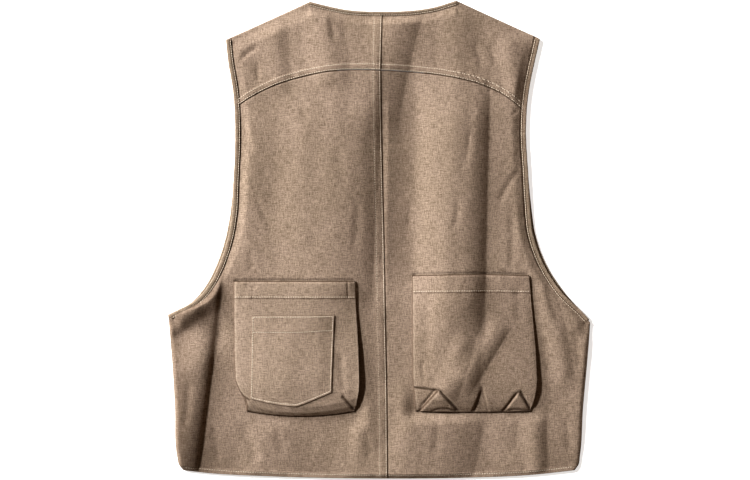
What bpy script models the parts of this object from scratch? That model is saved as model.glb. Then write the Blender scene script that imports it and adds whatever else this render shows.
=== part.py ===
"""A sleeveless canvas vest, laid flat with its back up.

Sizes are in millimetres, and MM turns them to metres where points are placed. X runs to the right,
Y towards the neck and Z up from the surface that the vest lies on. The origin is in the middle of the
outline, on that surface. Left and right are those of a viewer who looks down on the back.
"""
import math

import bmesh
import bpy
import numpy as np

MM = 0.001

# Cloth and how the layers lie on each other
WALL = 1.2
GAP = 0.3
FRONT_TOP = WALL
LOFT = 7.2
LOWEST = 2.9
LOWEST_EASE = 0.7
SIDE_LEVEL = FRONT_TOP + GAP + WALL
BOUND_LEVEL = 4.7
HEM_LEVEL = 4.3
SIDE_ROUNDING = 16.0
SHOULDER_ROUNDING = 26.0
BOUND_ROUNDING = 14.0
LEVEL_CHANGE = 34.0
# Places where an armhole's edge stands up. Columns: side, x, y, reach, rise
EDGE_LIFTS = ((-1, -254.0, -86.0, 32.0, 5.5), (1, 258.0, -80.0, 24.0, 1.6), (-1, -206.0, 240.0, 40.0, 0.8))
SEAM_BULK = 0.8

# Bindings: flat strips, rounded at both edges. A panel's edge runs in short straight steps beside them, so it
# stays a little further off on the curves than the gap alone
BOUND_GAP = 0.8
FRONT_BOUND_GAP = 1.9
FRONT_NECK_GAP = 2.4
ARMHOLE_BINDING_WIDTH = 7.0
NECK_BINDING_WIDTH = 5.6
BINDING_THICK = 2.2
STRIP_SECTION = ((0.5, 0.0), (0.34, 0.5), (-0.34, 0.5), (-0.5, 0.0), (-0.34, -0.5), (0.34, -0.5))
HAIRPIN_STEPS = 4

# Seams and hems
HEM_DEPTH = 6.5
FELLED_WIDTH = 11.5
YOKE_SEAM_WIDTH = 8.0
POCKET_HEM = 23.5
BAND_STEP = 1.2

# Side edges below the arms. Columns: height, left edge, right edge
SIDES = (
    (-318.0, -271.0, 269.5),
    (-311.0, -276.5, 274.5),
    (-299.0, -279.3, 276.6),
    (-232.5, -282.3, 281.0),
    (-166.0, -286.3, 287.0),
    (-133.0, -289.0, 289.6),
    (-102.0, -290.8, 290.8),
)

# Armhole edges from the shoulder tip to the underarm. Columns: x, y
ARMHOLE_LEFT = ((-212.0, 275.5), (-209.0, 248.0), (-201.5, 200.0), (-199.2, 150.0), (-201.5, 85.0), (-206.5, 32.0),
                (-219.0, -20.0), (-238.0, -61.0), (-257.0, -84.5), (-290.0, -103.0))
ARMHOLE_RIGHT = ((221.5, 277.0), (214.8, 248.0), (205.0, 198.0), (202.0, 150.0), (204.5, 100.0), (208.5, 55.0),
                 (217.0, 0.0), (231.0, -36.0), (251.5, -68.0), (290.0, -111.0))
# The back's edge lies this far inside the front's on the left, between two shares of the armhole's length
FRONT_PEEK = 3.2
PEEK_FROM, PEEK_TO = 0.42, 0.97
PEEK_GROWS, PEEK_ENDS = 0.25, 0.12
# The armhole bindings turn down to the front here: below the shoulder line, and out at the underarm
SHOULDER_TURN = 3.2
UNDERARM_TURN = 286.0
# The neck binding leaves out these shares of its lines for its turns
BACK_NECK_TRIM = 0.022
FRONT_NECK_TRIM = 0.02
# The shoulders lie lower over this share of their length from both ends
SHOULDER_EASE = 0.3

# Neck, hem and seams, from left to right. Columns: x, y
NECK = ((-96.0, 328.0), (-74.0, 322.5), (-40.0, 316.0), (0.0, 314.3), (43.5, 315.5), (72.0, 319.5), (106.0, 329.5))
FRONT_NECK = ((-96.0, 328.0), (-88.0, 292.0), (-62.0, 238.0), (-30.0, 205.0), (0.0, 192.0), (34.0, 205.0),
              (68.0, 238.0), (96.0, 292.0), (106.0, 329.5))
HEM = ((-271.0, -318.0), (-235.0, -322.0), (-151.0, -326.5), (8.0, -329.5), (115.0, -328.5), (215.0, -324.0),
       (269.5, -318.0))
YOKE_SEAM = ((-206.0, 176.0), (-192.5, 186.5), (-149.0, 210.5), (-105.0, 224.5), (-54.5, 232.5), (1.0, 233.0),
             (50.0, 230.5), (106.0, 222.5), (139.0, 214.0), (163.0, 204.0), (210.0, 170.0))
YOKE_SEAM_MIDDLE = 233.0
NECK_MIDDLE = 310.0
# Centre back seam. Columns: y, x
CENTRE_SEAM = ((-335.0, 11.0), (-222.0, 10.1), (-139.0, 8.6), (0.0, 6.0), (120.0, 3.4), (233.0, 1.9), (320.0, 3.8))
FRONT_OPENING = 3.0

# Folds of the back. A fold runs from a start to an end with a bow to its left; its two walls have their own
# widths, as seen when looking from start to end. A positive depth is a trough and a negative one a ridge. Sharp says,
# from 0 to 1, how far a trough's bottom or the foot of a ridge's right wall is a crease.
# Columns: start x, start y, end x, end y, bow, depth, left width, right width, sharp
FOLDS = (
    (-299.0, -440.0, -223.0, 60.0, 0.0, -7.4, 64.0, 26.0, 0.9),
    (-294.0, -168.0, -202.0, -44.0, 0.0, 9.0, 20.0, 15.0, 0.0),
    (-58.0, -110.0, -48.0, 262.0, 0.0, -5.2, 90.0, 60.0, 0.2),
    (34.0, -110.0, 41.0, 270.0, 0.0, 3.8, 44.0, 42.0, 0.0),
    (2.0, -100.0, 6.0, 232.0, 0.0, 1.9, 28.0, 8.0, 0.3),
    (96.0, -110.0, 112.0, 280.0, 0.0, -2.6, 60.0, 60.0, 0.0),
    (125.0, -110.0, 145.0, 214.0, 0.0, -5.4, 40.0, 12.0, 0.9),
    (84.0, -362.0, 124.0, -188.0, 0.0, -6.0, 60.0, 34.0, 0.9),
    (196.0, -340.0, 196.0, -200.0, 0.0, -2.2, 60.0, 40.0, 0.0),
    (-20.0, -362.0, -10.0, -190.0, 0.0, -3.0, 60.0, 40.0, 0.1),
    (-170.0, -362.0, -150.0, -200.0, 0.0, -2.2, 40.0, 60.0, 0.0),
    (256.0, -214.0, 214.0, -44.0, -8.0, -2.8, 26.0, 15.0, 0.4),
    (218.0, -350.0, 214.0, -226.0, 0.0, -2.6, 20.0, 15.0, 0.6),
    (-14.0, 130.0, 40.0, 340.0, 8.0, -4.8, 40.0, 30.0, 0.6),
    (110.0, 190.0, 104.0, 330.0, 0.0, -2.2, 34.0, 40.0, 0.0),
    (-138.0, 190.0, -146.0, 324.0, 0.0, -2.8, 34.0, 20.0, 0.2),
    (-64.0, 200.0, -80.0, 336.0, 0.0, -3.2, 36.0, 28.0, 0.2),
    (-178.0, -60.0, -166.0, 190.0, 6.0, -1.8, 20.0, 44.0, 0.0),
    (176.0, 286.0, 190.0, 186.0, 0.0, -2.4, 20.0, 18.0, 0.3),
)
FOLD_FADE = 0.22

# Bellows pockets: a row for each cross-section, from the mouth to the bottom seam. The walls stand on the back at the
# feet, and the face bulges between its two edges, which lie at the rises above the back.
# Columns: height, left foot, left edge, right edge, right foot, left rise, right rise, bulge, sag of the row
POCKET_LEFT = (
    (-57.0, -200.8, -200.2, -33.8, -35.0, 1.6, 1.6, 3.1, 0.0),
    (-100.0, -200.8, -200.2, -31.5, -33.5, 2.0, 2.8, 3.5, 0.0),
    (-155.0, -200.4, -199.6, -28.6, -32.0, 2.8, 5.2, 3.4, 0.0),
    (-194.0, -198.8, -197.8, -27.6, -32.5, 4.4, 6.8, 3.0, 4.0),
    (-207.0, -194.0, -191.5, -28.2, -34.0, 5.2, 7.2, 2.4, 9.0),
    (-217.0, -188.0, -184.5, -30.0, -35.5, 5.4, 6.8, 1.8, 13.0),
    (-227.0, -184.5, -181.0, -32.0, -36.5, 3.8, 4.6, 0.8, 11.5),
    (-236.5, -183.0, -181.0, -33.5, -36.5, 0.0, 0.0, 0.0, 7.0),
)
POCKET_RIGHT = (
    (-49.5, 44.8, 45.3, 205.8, 205.0, 1.6, 1.6, 3.1, -1.8),
    (-104.0, 44.8, 45.3, 211.0, 210.0, 2.0, 2.0, 3.7, 0.0),
    (-152.0, 45.0, 45.5, 215.0, 213.5, 2.8, 2.4, 3.8, 0.0),
    (-192.0, 45.4, 46.0, 216.8, 214.5, 4.6, 3.8, 3.2, 0.0),
    (-207.0, 46.5, 47.4, 215.5, 213.0, 5.2, 4.4, 2.6, 0.0),
    (-220.0, 47.5, 48.6, 212.5, 210.0, 4.6, 4.2, 1.8, 0.5),
    (-230.0, 48.5, 49.5, 209.5, 207.5, 2.8, 2.8, 0.8, 1.0),
    (-236.5, 49.5, 50.0, 207.5, 206.0, 0.0, 0.0, 0.0, 1.5),
)
# The back lies flat under the pockets, and its folds come back over this reach and step around them
COVER_FADE = 22.0
COVER_STEP = 14.0

# Folds of the pockets' faces, in the same columns as FOLDS
POCKET_FOLDS = (
    (116.0, -176.0, 129.0, -20.0, 0.0, -3.0, 34.0, 14.0, 0.6),
    (82.0, -226.0, 122.0, -112.0, 0.0, -2.4, 22.0, 20.0, 0.3),
    (124.0, -208.0, 168.0, -100.0, 0.0, -3.0, 22.0, 15.0, 0.6),
    (-130.0, -225.0, -116.0, -110.0, 5.0, -1.2, 30.0, 30.0, 0.0),
    (80.0, -205.0, 109.0, -240.0, 0.0, 2.6, 8.0, 8.0, 0.0),
    (150.0, -240.0, 141.0, -200.0, 0.0, 2.2, 8.0, 8.0, 0.0),
    (205.0, -238.0, 190.0, -206.0, 0.0, 2.2, 8.0, 8.0, 0.0),
    (-34.0, -238.0, -52.0, -214.0, 0.0, 2.2, 8.0, 8.0, 0.0),
)

# Patch pocket on the left bellows pocket, anticlockwise from its lower left corner.
# Columns: x, height of the bellows pocket's cross-section that the corner lies on
PATCH_CORNERS = ((-177.5, -216.0), (-114.5, -216.8), (-65.5, -204.2), (-61.5, -104.0), (-175.5, -104.5))
PATCH_HEM = 21.0
PATCH_GAP = 0.8
# The most that a fold takes from a face's rise
MOST_FOLD = 0.6

# How finely the pieces are cut. A back panel has closer columns over a share of its width from its outer edge, and a
# front panel has its shoulder over a share of its top; the rows change at the underarm
OUTER_SHARE = 0.36
OUTER_COLUMNS, INNER_COLUMNS = 14, 10
BACK_ROWS = (10, 15)
YOKE_ROWS = 6
FRONT_SHOULDER_SHARE = 0.45
FRONT_COLUMNS = (5, 7)
FRONT_ROWS = (6, 12)
ARMHOLE_POINTS = (30, 22)
NECK_POINTS = (22, 16)
FACE_COLUMNS = 21
WALL_SHARE = 0.55
PATCH_COLUMNS = (5, 4)
PATCH_ROWS = (7, 2)
SHARP_ANGLE = 50.0

CANVAS = (0.305, 0.222, 0.155, 1.0)
POCKET_CANVAS = (0.325, 0.238, 0.167, 1.0)
BINDING_CANVAS = (0.270, 0.196, 0.136, 1.0)
ROUGHNESS = 0.92


def smoothstep(value):
    """Nought below 0, one above 1, and smooth between them."""
    value = np.clip(value, 0.0, 1.0)
    return value * value * (3.0 - 2.0 * value)


def through(knots, values, at):
    """Value of the smooth curve through the values at the knots, in cubic pieces with matching slopes."""
    knots = np.asarray(knots, float)
    values = np.asarray(values, float)
    step = np.diff(knots)
    slope = np.diff(values) / step
    inner = (slope[:-1] * step[1:] + slope[1:] * step[:-1]) / (step[:-1] + step[1:])
    tangent = np.concatenate(([slope[0]], inner, [slope[-1]]))
    at = np.clip(at, knots[0], knots[-1])
    piece = np.clip(np.searchsorted(knots, at) - 1, 0, len(step) - 1)
    t = (at - knots[piece]) / step[piece]
    rest = 1.0 - t
    start = (1.0 + 2.0 * t) * rest * rest * values[piece] + t * rest * rest * step[piece] * tangent[piece]
    end = t * t * (3.0 - 2.0 * t) * values[piece + 1] - t * t * rest * step[piece] * tangent[piece + 1]
    return start + end


def trace(points, fractions):
    """Points at fractions of the length of the smooth curve through a short list of points."""
    points = np.asarray(points, float)
    chord = np.concatenate(([0.0], np.cumsum(np.hypot(*np.diff(points, axis=0).T))))
    fine = np.linspace(0.0, chord[-1], 600)
    return along(np.stack((through(chord, points[:, 0], fine), through(chord, points[:, 1], fine)), axis=-1),
                 fractions)


def along(line, fractions):
    """Points at fractions of the length of a fine polyline."""
    run = np.concatenate(([0.0], np.cumsum(np.hypot(*np.diff(line, axis=0).T))))
    run = run / run[-1]
    return np.stack([np.interp(fractions, run, line[:, axis]) for axis in (0, 1)], axis=-1)


def left_of(line):
    """Unit directions to the left of a polyline's course."""
    course = np.gradient(line, axis=0)
    course = course / np.hypot(course[:, 0], course[:, 1])[:, None]
    return np.stack((-course[:, 1], course[:, 0]), axis=-1)


FINE = np.linspace(0.0, 1.0, 300)


def armhole(side, inset=0.0, front=False):
    """Fine line of an armhole edge from the shoulder tip to the underarm, moved inwards by the inset.

    The front's edge reaches the outline, and the back's lies a little inside it low down on the left."""
    points = ARMHOLE_LEFT if side < 0 else ARMHOLE_RIGHT
    line = trace(points, FINE)
    peek = 0.0 if front else FRONT_PEEK
    peek = peek * smoothstep((FINE - PEEK_FROM) / PEEK_GROWS) * smoothstep((PEEK_TO - FINE) / PEEK_ENDS)
    inwards = left_of(line) * (1.0 if side < 0 else -1.0)
    return line + inwards * (inset + peek)[:, None]


def outline_x(side, y):
    """X of the back's outer edge, side or armhole, at each height."""
    rows = np.array(SIDES)
    low = through(rows[:, 0], rows[:, 1 if side < 0 else 2], y)
    line = armhole(side)[::-1]
    high = np.interp(y, line[:, 1], line[:, 0])
    return np.where(y < line[0, 1], low, high)


def on_curve(points, x):
    """Y of a curve that runs from left to right, at each x."""
    line = trace(points, FINE)
    return np.interp(x, line[:, 0], line[:, 1])


def centre_x(y):
    """X of the centre back seam at each height."""
    rows = np.array(CENTRE_SEAM)
    return through(rows[:, 0], rows[:, 1], y)


def shoulder_y(x):
    """Y of the shoulder lines, straight from each neck point to its shoulder tip."""
    (left_tip_x, left_tip_y), (right_tip_x, right_tip_y) = ARMHOLE_LEFT[0], ARMHOLE_RIGHT[0]
    (left_neck_x, left_neck_y), (right_neck_x, right_neck_y) = NECK[0], NECK[-1]
    return np.interp(x, (left_tip_x, left_neck_x, right_neck_x, right_tip_x),
                     (left_tip_y, left_neck_y, right_neck_y, right_tip_y))


def fold_depth(folds, x, y):
    """Summed depth of a table of folds at each point."""
    total = np.zeros_like(x)
    for start_x, start_y, end_x, end_y, bow, depth, left_width, right_width, sharp in folds:
        run_x, run_y = end_x - start_x, end_y - start_y
        length = math.hypot(run_x, run_y)
        t = ((x - start_x) * run_x + (y - start_y) * run_y) / length ** 2
        off = ((x - start_x) * run_y - (y - start_y) * run_x) / length
        off = off + 4.0 * bow * t * (1.0 - t)
        part = np.clip(np.abs(off) / np.where(off < 0.0, left_width, right_width), 0.0, 1.0)
        if depth > 0.0:
            crease, creased = (1.0 - part) ** 2, sharp
        else:
            crease, creased = 1.0 - part ** 2, np.where(off < 0.0, 0.0, sharp)
        wall = (1.0 - creased) * (1.0 - smoothstep(part)) + creased * crease
        ends = smoothstep(t / FOLD_FADE) * smoothstep((1.0 - t) / FOLD_FADE)
        total = total + depth * wall * ends
    return total


def pocket_cover(x, y):
    """One where a bellows pocket covers the back, nought well away from both pockets."""
    cover = np.zeros_like(x)
    for rows in (POCKET_LEFT, POCKET_RIGHT):
        table = np.array(rows)
        left, right = table[:, 1].min(), table[:, 4].max()
        low, high = table[:, 0].min() - table[:, 8].max(), table[:, 0].max()
        inside = smoothstep((x - left + COVER_FADE) / COVER_STEP) * smoothstep((right + COVER_FADE - x) / COVER_STEP)
        inside = inside * smoothstep((y - low + COVER_FADE) / COVER_STEP)
        inside = inside * smoothstep((high + COVER_FADE - y) / COVER_STEP)
        cover = np.maximum(cover, inside)
    return cover


def back_top(x, y):
    """Height of the back's outer side above the surface: loft, folds, and edges that come down to the front."""
    x, y = np.asarray(x, float), np.asarray(y, float)
    height = LOFT - fold_depth(FOLDS, x, y) * (1.0 - pocket_cover(x, y))
    spare = height - LOWEST
    height = LOWEST + (spare + np.sqrt(spare ** 2 + LOWEST_EASE ** 2)) / 2.0
    neck = on_curve(NECK, x) - y
    height = BOUND_LEVEL + (height - BOUND_LEVEL) * smoothstep(neck / BOUND_ROUNDING)
    height = HEM_LEVEL + (height - HEM_LEVEL) * smoothstep((y - on_curve(HEM, x)) / BOUND_ROUNDING)
    for side in (-1, 1):
        in_from_edge = side * (outline_x(side, y) - x)
        underarm = (ARMHOLE_LEFT if side < 0 else ARMHOLE_RIGHT)[-1][1]
        bound = smoothstep((y - underarm + LEVEL_CHANGE) / LEVEL_CHANGE)
        lift = sum(rise * np.exp(-((x - at_x) ** 2 + (y - at_y) ** 2) / reach ** 2)
                   for where, at_x, at_y, reach, rise in EDGE_LIFTS if where == side)
        level = SIDE_LEVEL + (BOUND_LEVEL + lift - SIDE_LEVEL) * bound
        rolled = 1.0 - (1.0 - np.clip(in_from_edge / SIDE_ROUNDING, 0.0, 1.0)) ** 2
        sewn = smoothstep((in_from_edge - ARMHOLE_BINDING_WIDTH) / BOUND_ROUNDING)
        height = level + (height - level) * (rolled + (sewn - rolled) * bound)
    # Each shoulder comes down to the front between its neck point and its tip
    for neck_point, tip in ((NECK[0], ARMHOLE_LEFT[0]), (NECK[-1], ARMHOLE_RIGHT[0])):
        share = (x - neck_point[0]) / (tip[0] - neck_point[0])
        middle = smoothstep(share / SHOULDER_EASE) * smoothstep((1.0 - share) / SHOULDER_EASE)
        level = BOUND_LEVEL + (SIDE_LEVEL - BOUND_LEVEL) * middle
        in_from_edge = np.where(share > 0.0, shoulder_y(x) - y, SHOULDER_ROUNDING)
        height = level + (height - level) * smoothstep(in_from_edge / SHOULDER_ROUNDING)
    return height


def spaced(*stretches):
    """Fractions made of stretches, each given as (start, end, steps)."""
    values = [stretches[0][0]]
    for start, end, steps in stretches:
        values.extend(np.linspace(start, end, steps + 1)[1:])
    return np.array(values)


def patch(bottom, top, left, right, across, up):
    """Grid of points that fills four edge lines, rows from bottom to top."""
    u = across[None, :, None]
    v = up[:, None, None]
    rows = (1.0 - v) * bottom[None] + v * top[None]
    columns = (1.0 - u) * left[:, None] + u * right[:, None]
    low = (1.0 - u) * bottom[0] + u * bottom[-1]
    high = (1.0 - u) * top[0] + u * top[-1]
    return rows + columns - ((1.0 - v) * low + v * high)


def collection_for(name):
    """New collection in the scene."""
    group = bpy.data.collections.new(name)
    bpy.context.scene.collection.children.link(group)
    return group


def canvas_material(name, colour):
    """Plain cloth."""
    material = bpy.data.materials.new(name)
    material.use_nodes = True
    shader = material.node_tree.nodes["Principled BSDF"]
    shader.inputs["Base Color"].default_value = colour
    shader.inputs["Roughness"].default_value = ROUGHNESS
    shader.inputs["Metallic"].default_value = 0.0
    return material


def grid_object(name, points, colour, around=False, capped=False):
    """Object from a grid of points, rows by columns, in millimetres.

    With around set, the last column lies on the first and is merged with it. With capped set, the two open
    ends of such a tube are filled."""
    rows, columns = points.shape[:2]
    form = bmesh.new()
    bmesh.ops.create_grid(form, x_segments=columns - 1, y_segments=rows - 1, size=1.0)
    for vertex, point in zip(form.verts, points.reshape(-1, 3)):
        vertex.co = point * MM
    if around:
        bmesh.ops.remove_doubles(form, verts=form.verts, dist=0.00001)
    if capped:
        bmesh.ops.holes_fill(form, edges=form.edges, sides=0)
        bmesh.ops.recalc_face_normals(form, faces=form.faces)
    mesh = bpy.data.meshes.new(name)
    form.to_mesh(mesh)
    form.free()
    mesh.shade_smooth()
    mesh.set_sharp_from_angle(angle=math.radians(SHARP_ANGLE))
    mesh.materials.append(canvas_material(name, colour))
    made = bpy.data.objects.new(name, mesh)
    bpy.data.collections["vest"].objects.link(made)
    return made


def sheet_object(name, points, colour):
    """Cloth wall under a grid of points on its outer side."""
    made = grid_object(name, points, colour)
    wall = made.modifiers.new("wall", "SOLIDIFY")
    wall.thickness = WALL * MM
    wall.offset = -1.0
    wall.use_even_offset = True
    return made


def lifted(plan, height):
    """Grid of points in space from a grid in plan and the height at each point."""
    return np.concatenate((plan, height[..., None]), axis=-1)


def panel_edge(side, inset, front=False):
    """An armhole's sewn edge from the underarm to the shoulder line, for a panel that ends at a binding."""
    line = armhole(side, inset, front)[::-1]
    course = line[0] - line[4]
    corner_x = outline_x(side, line[0, 1])
    corner_y = line[0, 1] + (corner_x - line[0, 0]) * course[1] / course[0]
    inner = line[side * line[:, 0] < side * corner_x - 1.0]
    inner = inner[inner[:, 1] < shoulder_y(inner[:, 0]) - 1.0]
    tip = inner[-1]
    top = np.array([tip[0], shoulder_y(tip[0])])
    return np.vstack(([corner_x, corner_y], inner, top))


def side_line(side, low_y, high_y):
    """Side edge between two heights, from low to high."""
    rows = np.array(SIDES)
    y = np.linspace(low_y, high_y, 60)
    return np.stack((through(rows[:, 0], rows[:, 1 if side < 0 else 2], y), y), axis=-1)


def split_at_yoke(line):
    """An armhole edge cut in two where the yoke seam meets it."""
    above = line[:, 1] > on_curve(YOKE_SEAM, line[:, 0])
    return line[~above], line[above]


def column_places(side, width):
    """Shares of the way from the outer edge to the centre seam, which end with the felled band on the left."""
    band = FELLED_WIDTH / width if side < 0 else 0.02
    step = BAND_STEP / width
    return spaced((0.0, OUTER_SHARE, OUTER_COLUMNS), (OUTER_SHARE, 1.0 - band - step, INNER_COLUMNS),
                  (1.0 - band - step, 1.0 - band, 1), (1.0 - band, 1.0, 1))


def yoke_seam_row(side):
    """X of the columns on the yoke seam, which the back panel and the yoke share."""
    low_part, _ = split_at_yoke(panel_edge(side, ARMHOLE_BINDING_WIDTH + BOUND_GAP))
    outer_x = low_part[-1, 0]
    inner_x = centre_x(YOKE_SEAM_MIDDLE) + side * GAP / 2.0
    return outer_x + (inner_x - outer_x) * column_places(side, abs(inner_x - outer_x))


def back_panel(side):
    """Back panel from the hem to the yoke seam, and from the side to the centre seam."""
    name = "back_left" if side < 0 else "back_right"
    edge = panel_edge(side, ARMHOLE_BINDING_WIDTH + BOUND_GAP)
    low_part, _ = split_at_yoke(edge)
    corner = SIDES[0][1 if side < 0 else 2]
    side_part = side_line(side, SIDES[0][0], low_part[0, 1])
    centre_shift = side * GAP / 2.0
    top_x = yoke_seam_row(side)
    top = np.stack((top_x, on_curve(YOKE_SEAM, top_x) - GAP / 2.0), axis=-1)

    low_centre = np.array([centre_x(SIDES[0][0]) + centre_shift, 0.0])
    low_centre[1] = on_curve(HEM, low_centre[0])

    # Rows: the hem's fold, the side, the armhole
    height = top[-1, 1] - low_centre[1]
    turn = (low_part[0, 1] - low_centre[1]) / height
    hem, hem_top = HEM_DEPTH / height, (HEM_DEPTH + BAND_STEP) / height
    up = spaced((0.0, hem, 1), (hem, hem_top, 1), (hem_top, turn, BACK_ROWS[0]), (turn, 1.0, BACK_ROWS[1]))
    below = up <= turn
    outer = np.vstack((along(side_part, up[below] / turn),
                       along(np.vstack((low_part[:-1], top[0])), (up[~below] - turn) / (1.0 - turn))))
    outer[0] = (corner, SIDES[0][0])
    centre_y = low_centre[1] + height * up
    inner = np.stack((centre_x(centre_y) + centre_shift, centre_y), axis=-1)

    bottom_x = corner + (low_centre[0] - corner) * column_places(side, abs(low_centre[0] - corner))
    bottom = np.stack((bottom_x, on_curve(HEM, bottom_x)), axis=-1)
    bottom[0] = outer[0]
    across = (bottom_x - bottom_x[0]) / (bottom_x[-1] - bottom_x[0])
    plan = patch(bottom, top, outer, inner, across, up)
    if side > 0:
        plan = plan[:, ::-1]

    x, y = plan[..., 0], plan[..., 1]
    surface = back_top(x, y)
    surface = surface + SEAM_BULK * smoothstep((HEM_DEPTH + BAND_STEP - (y - on_curve(HEM, x))) / BAND_STEP)
    if side < 0:
        surface = surface + SEAM_BULK * smoothstep((FELLED_WIDTH + BAND_STEP - (centre_x(y) - x)) / BAND_STEP)
    return sheet_object(name, lifted(plan, surface), CANVAS)


def neck_edge(points, inset):
    """Fine line of a neck edge from left to right, moved in from the neck opening and run to the shoulders."""
    line = trace(points, FINE)
    line = line - left_of(line) * inset
    ends = []
    for end, neighbour in ((line[0], line[5]), (line[-1], line[-6])):
        course = (end - neighbour) / np.hypot(*(end - neighbour))
        reach = np.linspace(0.0, 20.0, 200)
        ahead = end + course * reach[:, None]
        under = ahead[:, 1] < shoulder_y(ahead[:, 0])
        ends.append(ahead[under][-1] if under[0] else end)
    return np.vstack((ends[0], line[1:-1], ends[1]))


def yoke_panel(side):
    """Half of the back yoke, from its seam to the shoulder and the neck."""
    name = "yoke_left" if side < 0 else "yoke_right"
    edge = panel_edge(side, ARMHOLE_BINDING_WIDTH + BOUND_GAP)
    _, high_part = split_at_yoke(edge)
    bottom_x = yoke_seam_row(side)
    bottom = np.stack((bottom_x, on_curve(YOKE_SEAM, bottom_x) + GAP / 2.0), axis=-1)
    outer_line = np.vstack((bottom[0], high_part[1:]))
    neck = neck_edge(NECK, NECK_BINDING_WIDTH + BOUND_GAP)
    neck_corner = neck[0] if side < 0 else neck[-1]
    centre_shift = side * GAP / 2.0
    high_centre_x = centre_x(NECK_MIDDLE) + centre_shift
    high_centre_y = np.interp(high_centre_x, neck[:, 0], neck[:, 1])

    # Rows: the seam's two stitched folds, then the rest
    height = high_centre_y - bottom[-1, 1]
    band, band_top = YOKE_SEAM_WIDTH / height, (YOKE_SEAM_WIDTH + BAND_STEP) / height
    up = spaced((0.0, band, 1), (band, band_top, 1), (band_top, 1.0, YOKE_ROWS))
    outer = along(outer_line, up)
    centre_y = bottom[-1, 1] + height * up
    inner = np.stack((centre_x(centre_y) + centre_shift, centre_y), axis=-1)

    # Columns: those of the seam, drawn along the top so that one of them meets the neck point
    width = abs(high_centre_x - outer_line[-1, 0])
    turn = abs(neck_corner[0] - outer_line[-1, 0]) / width
    places = column_places(side, width)
    at_turn = np.argmin(np.abs(places - turn))
    places = np.where(np.arange(len(places)) <= at_turn, places * turn / places[at_turn],
                      1.0 - (1.0 - places) * (1.0 - turn) / (1.0 - places[at_turn]))
    top_x = outer_line[-1, 0] + (high_centre_x - outer_line[-1, 0]) * places
    on_shoulder = np.arange(len(places)) <= at_turn
    top_y = np.where(on_shoulder, shoulder_y(top_x), np.interp(top_x, neck[:, 0], neck[:, 1]))
    top = np.stack((top_x, top_y), axis=-1)
    across = (bottom_x - bottom_x[0]) / (bottom_x[-1] - bottom_x[0])
    plan = patch(bottom, top, outer, inner, across, up)
    if side > 0:
        plan = plan[:, ::-1]

    x, y = plan[..., 0], plan[..., 1]
    surface = back_top(x, y)
    above_seam = y - on_curve(YOKE_SEAM, x)
    surface = surface + SEAM_BULK * smoothstep((YOKE_SEAM_WIDTH + BAND_STEP - above_seam) / BAND_STEP)
    if side < 0:
        surface = surface + SEAM_BULK * smoothstep((FELLED_WIDTH + BAND_STEP - (centre_x(y) - x)) / BAND_STEP)
    return sheet_object(name, lifted(plan, surface), CANVAS)


def front_panel(side):
    """Flat front under the back, from the hem to the shoulder, open at the middle."""
    name = "front_left" if side < 0 else "front_right"
    edge = panel_edge(side, ARMHOLE_BINDING_WIDTH + FRONT_BOUND_GAP, front=True)
    corner = np.array([SIDES[0][1 if side < 0 else 2], SIDES[0][0]])
    side_part = side_line(side, SIDES[0][0], edge[0, 1])
    neck = neck_edge(FRONT_NECK, NECK_BINDING_WIDTH + FRONT_NECK_GAP)
    middle_x = centre_x(0.0) + side * FRONT_OPENING / 2.0
    low_middle = np.array([middle_x, on_curve(HEM, middle_x)])
    high_middle = np.array([middle_x, np.interp(middle_x, neck[:, 0], neck[:, 1])])
    neck_part = neck[neck[:, 0] < middle_x] if side < 0 else neck[neck[:, 0] > middle_x][::-1]
    shoulder = np.vstack((edge[-1], neck_part[0]))

    height = high_middle[1] - low_middle[1]
    turn = (edge[0, 1] - low_middle[1]) / height
    up = spaced((0.0, turn, FRONT_ROWS[0]), (turn, 1.0, FRONT_ROWS[1]))
    below = up <= turn
    outer = np.vstack((along(side_part, up[below] / turn), along(edge, (up[~below] - turn) / (1.0 - turn))))
    inner = np.stack((np.full_like(up, middle_x), low_middle[1] + height * up), axis=-1)
    share = FRONT_SHOULDER_SHARE
    across = spaced((0.0, share, FRONT_COLUMNS[0]), (share, 1.0, FRONT_COLUMNS[1]))
    on_shoulder = across <= share
    top = np.vstack((along(shoulder, across[on_shoulder] / share),
                     along(np.vstack((neck_part, high_middle)), (across[~on_shoulder] - share) / (1.0 - share))))
    bottom_x = corner[0] + (middle_x - corner[0]) * across
    bottom = np.stack((bottom_x, on_curve(HEM, bottom_x)), axis=-1)
    bottom[0] = corner
    plan = patch(bottom, top, outer, inner, across, up)
    if side > 0:
        plan = plan[:, ::-1]
    return sheet_object(name, lifted(plan, np.full(plan.shape[:2], FRONT_TOP)), CANVAS)


def hairpin(high, low, course, out_high, out_low):
    """Points and width directions of a strip that turns down from the upper layer to the lower one."""
    middle = (high + low) / 2.0
    half = (high - low) / 2.0
    reach = np.linalg.norm(half[2])
    turns = np.linspace(0.0, math.pi, HAIRPIN_STEPS + 2)[1:-1]
    points = [middle + half * math.cos(turn) + course * reach * math.sin(turn) for turn in turns]
    outs = [out_high + (out_low - out_high) * turn / math.pi for turn in turns]
    return np.array(points), np.array(outs)


def strip_surface(path, outs, width, closed):
    """Grid of points round a flat strip along a path; outs point across it, towards the open side."""
    ahead = np.roll(path, -1, axis=0) - np.roll(path, 1, axis=0)
    if not closed:
        ahead[0], ahead[-1] = path[1] - path[0], path[-1] - path[-2]
    ahead = ahead / np.linalg.norm(ahead, axis=1)[:, None]
    outs = outs - ahead * np.sum(outs * ahead, axis=1)[:, None]
    outs = outs / np.linalg.norm(outs, axis=1)[:, None]
    normals = np.cross(ahead, outs)
    section = np.array(STRIP_SECTION + STRIP_SECTION[:1])
    points = (path[:, None] + outs[:, None] * (section[:, 0] * width)[None, :, None]
              + normals[:, None] * (section[:, 1] * BINDING_THICK)[None, :, None])
    if closed:
        points = np.vstack((points, points[:1]))
    return points


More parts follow.
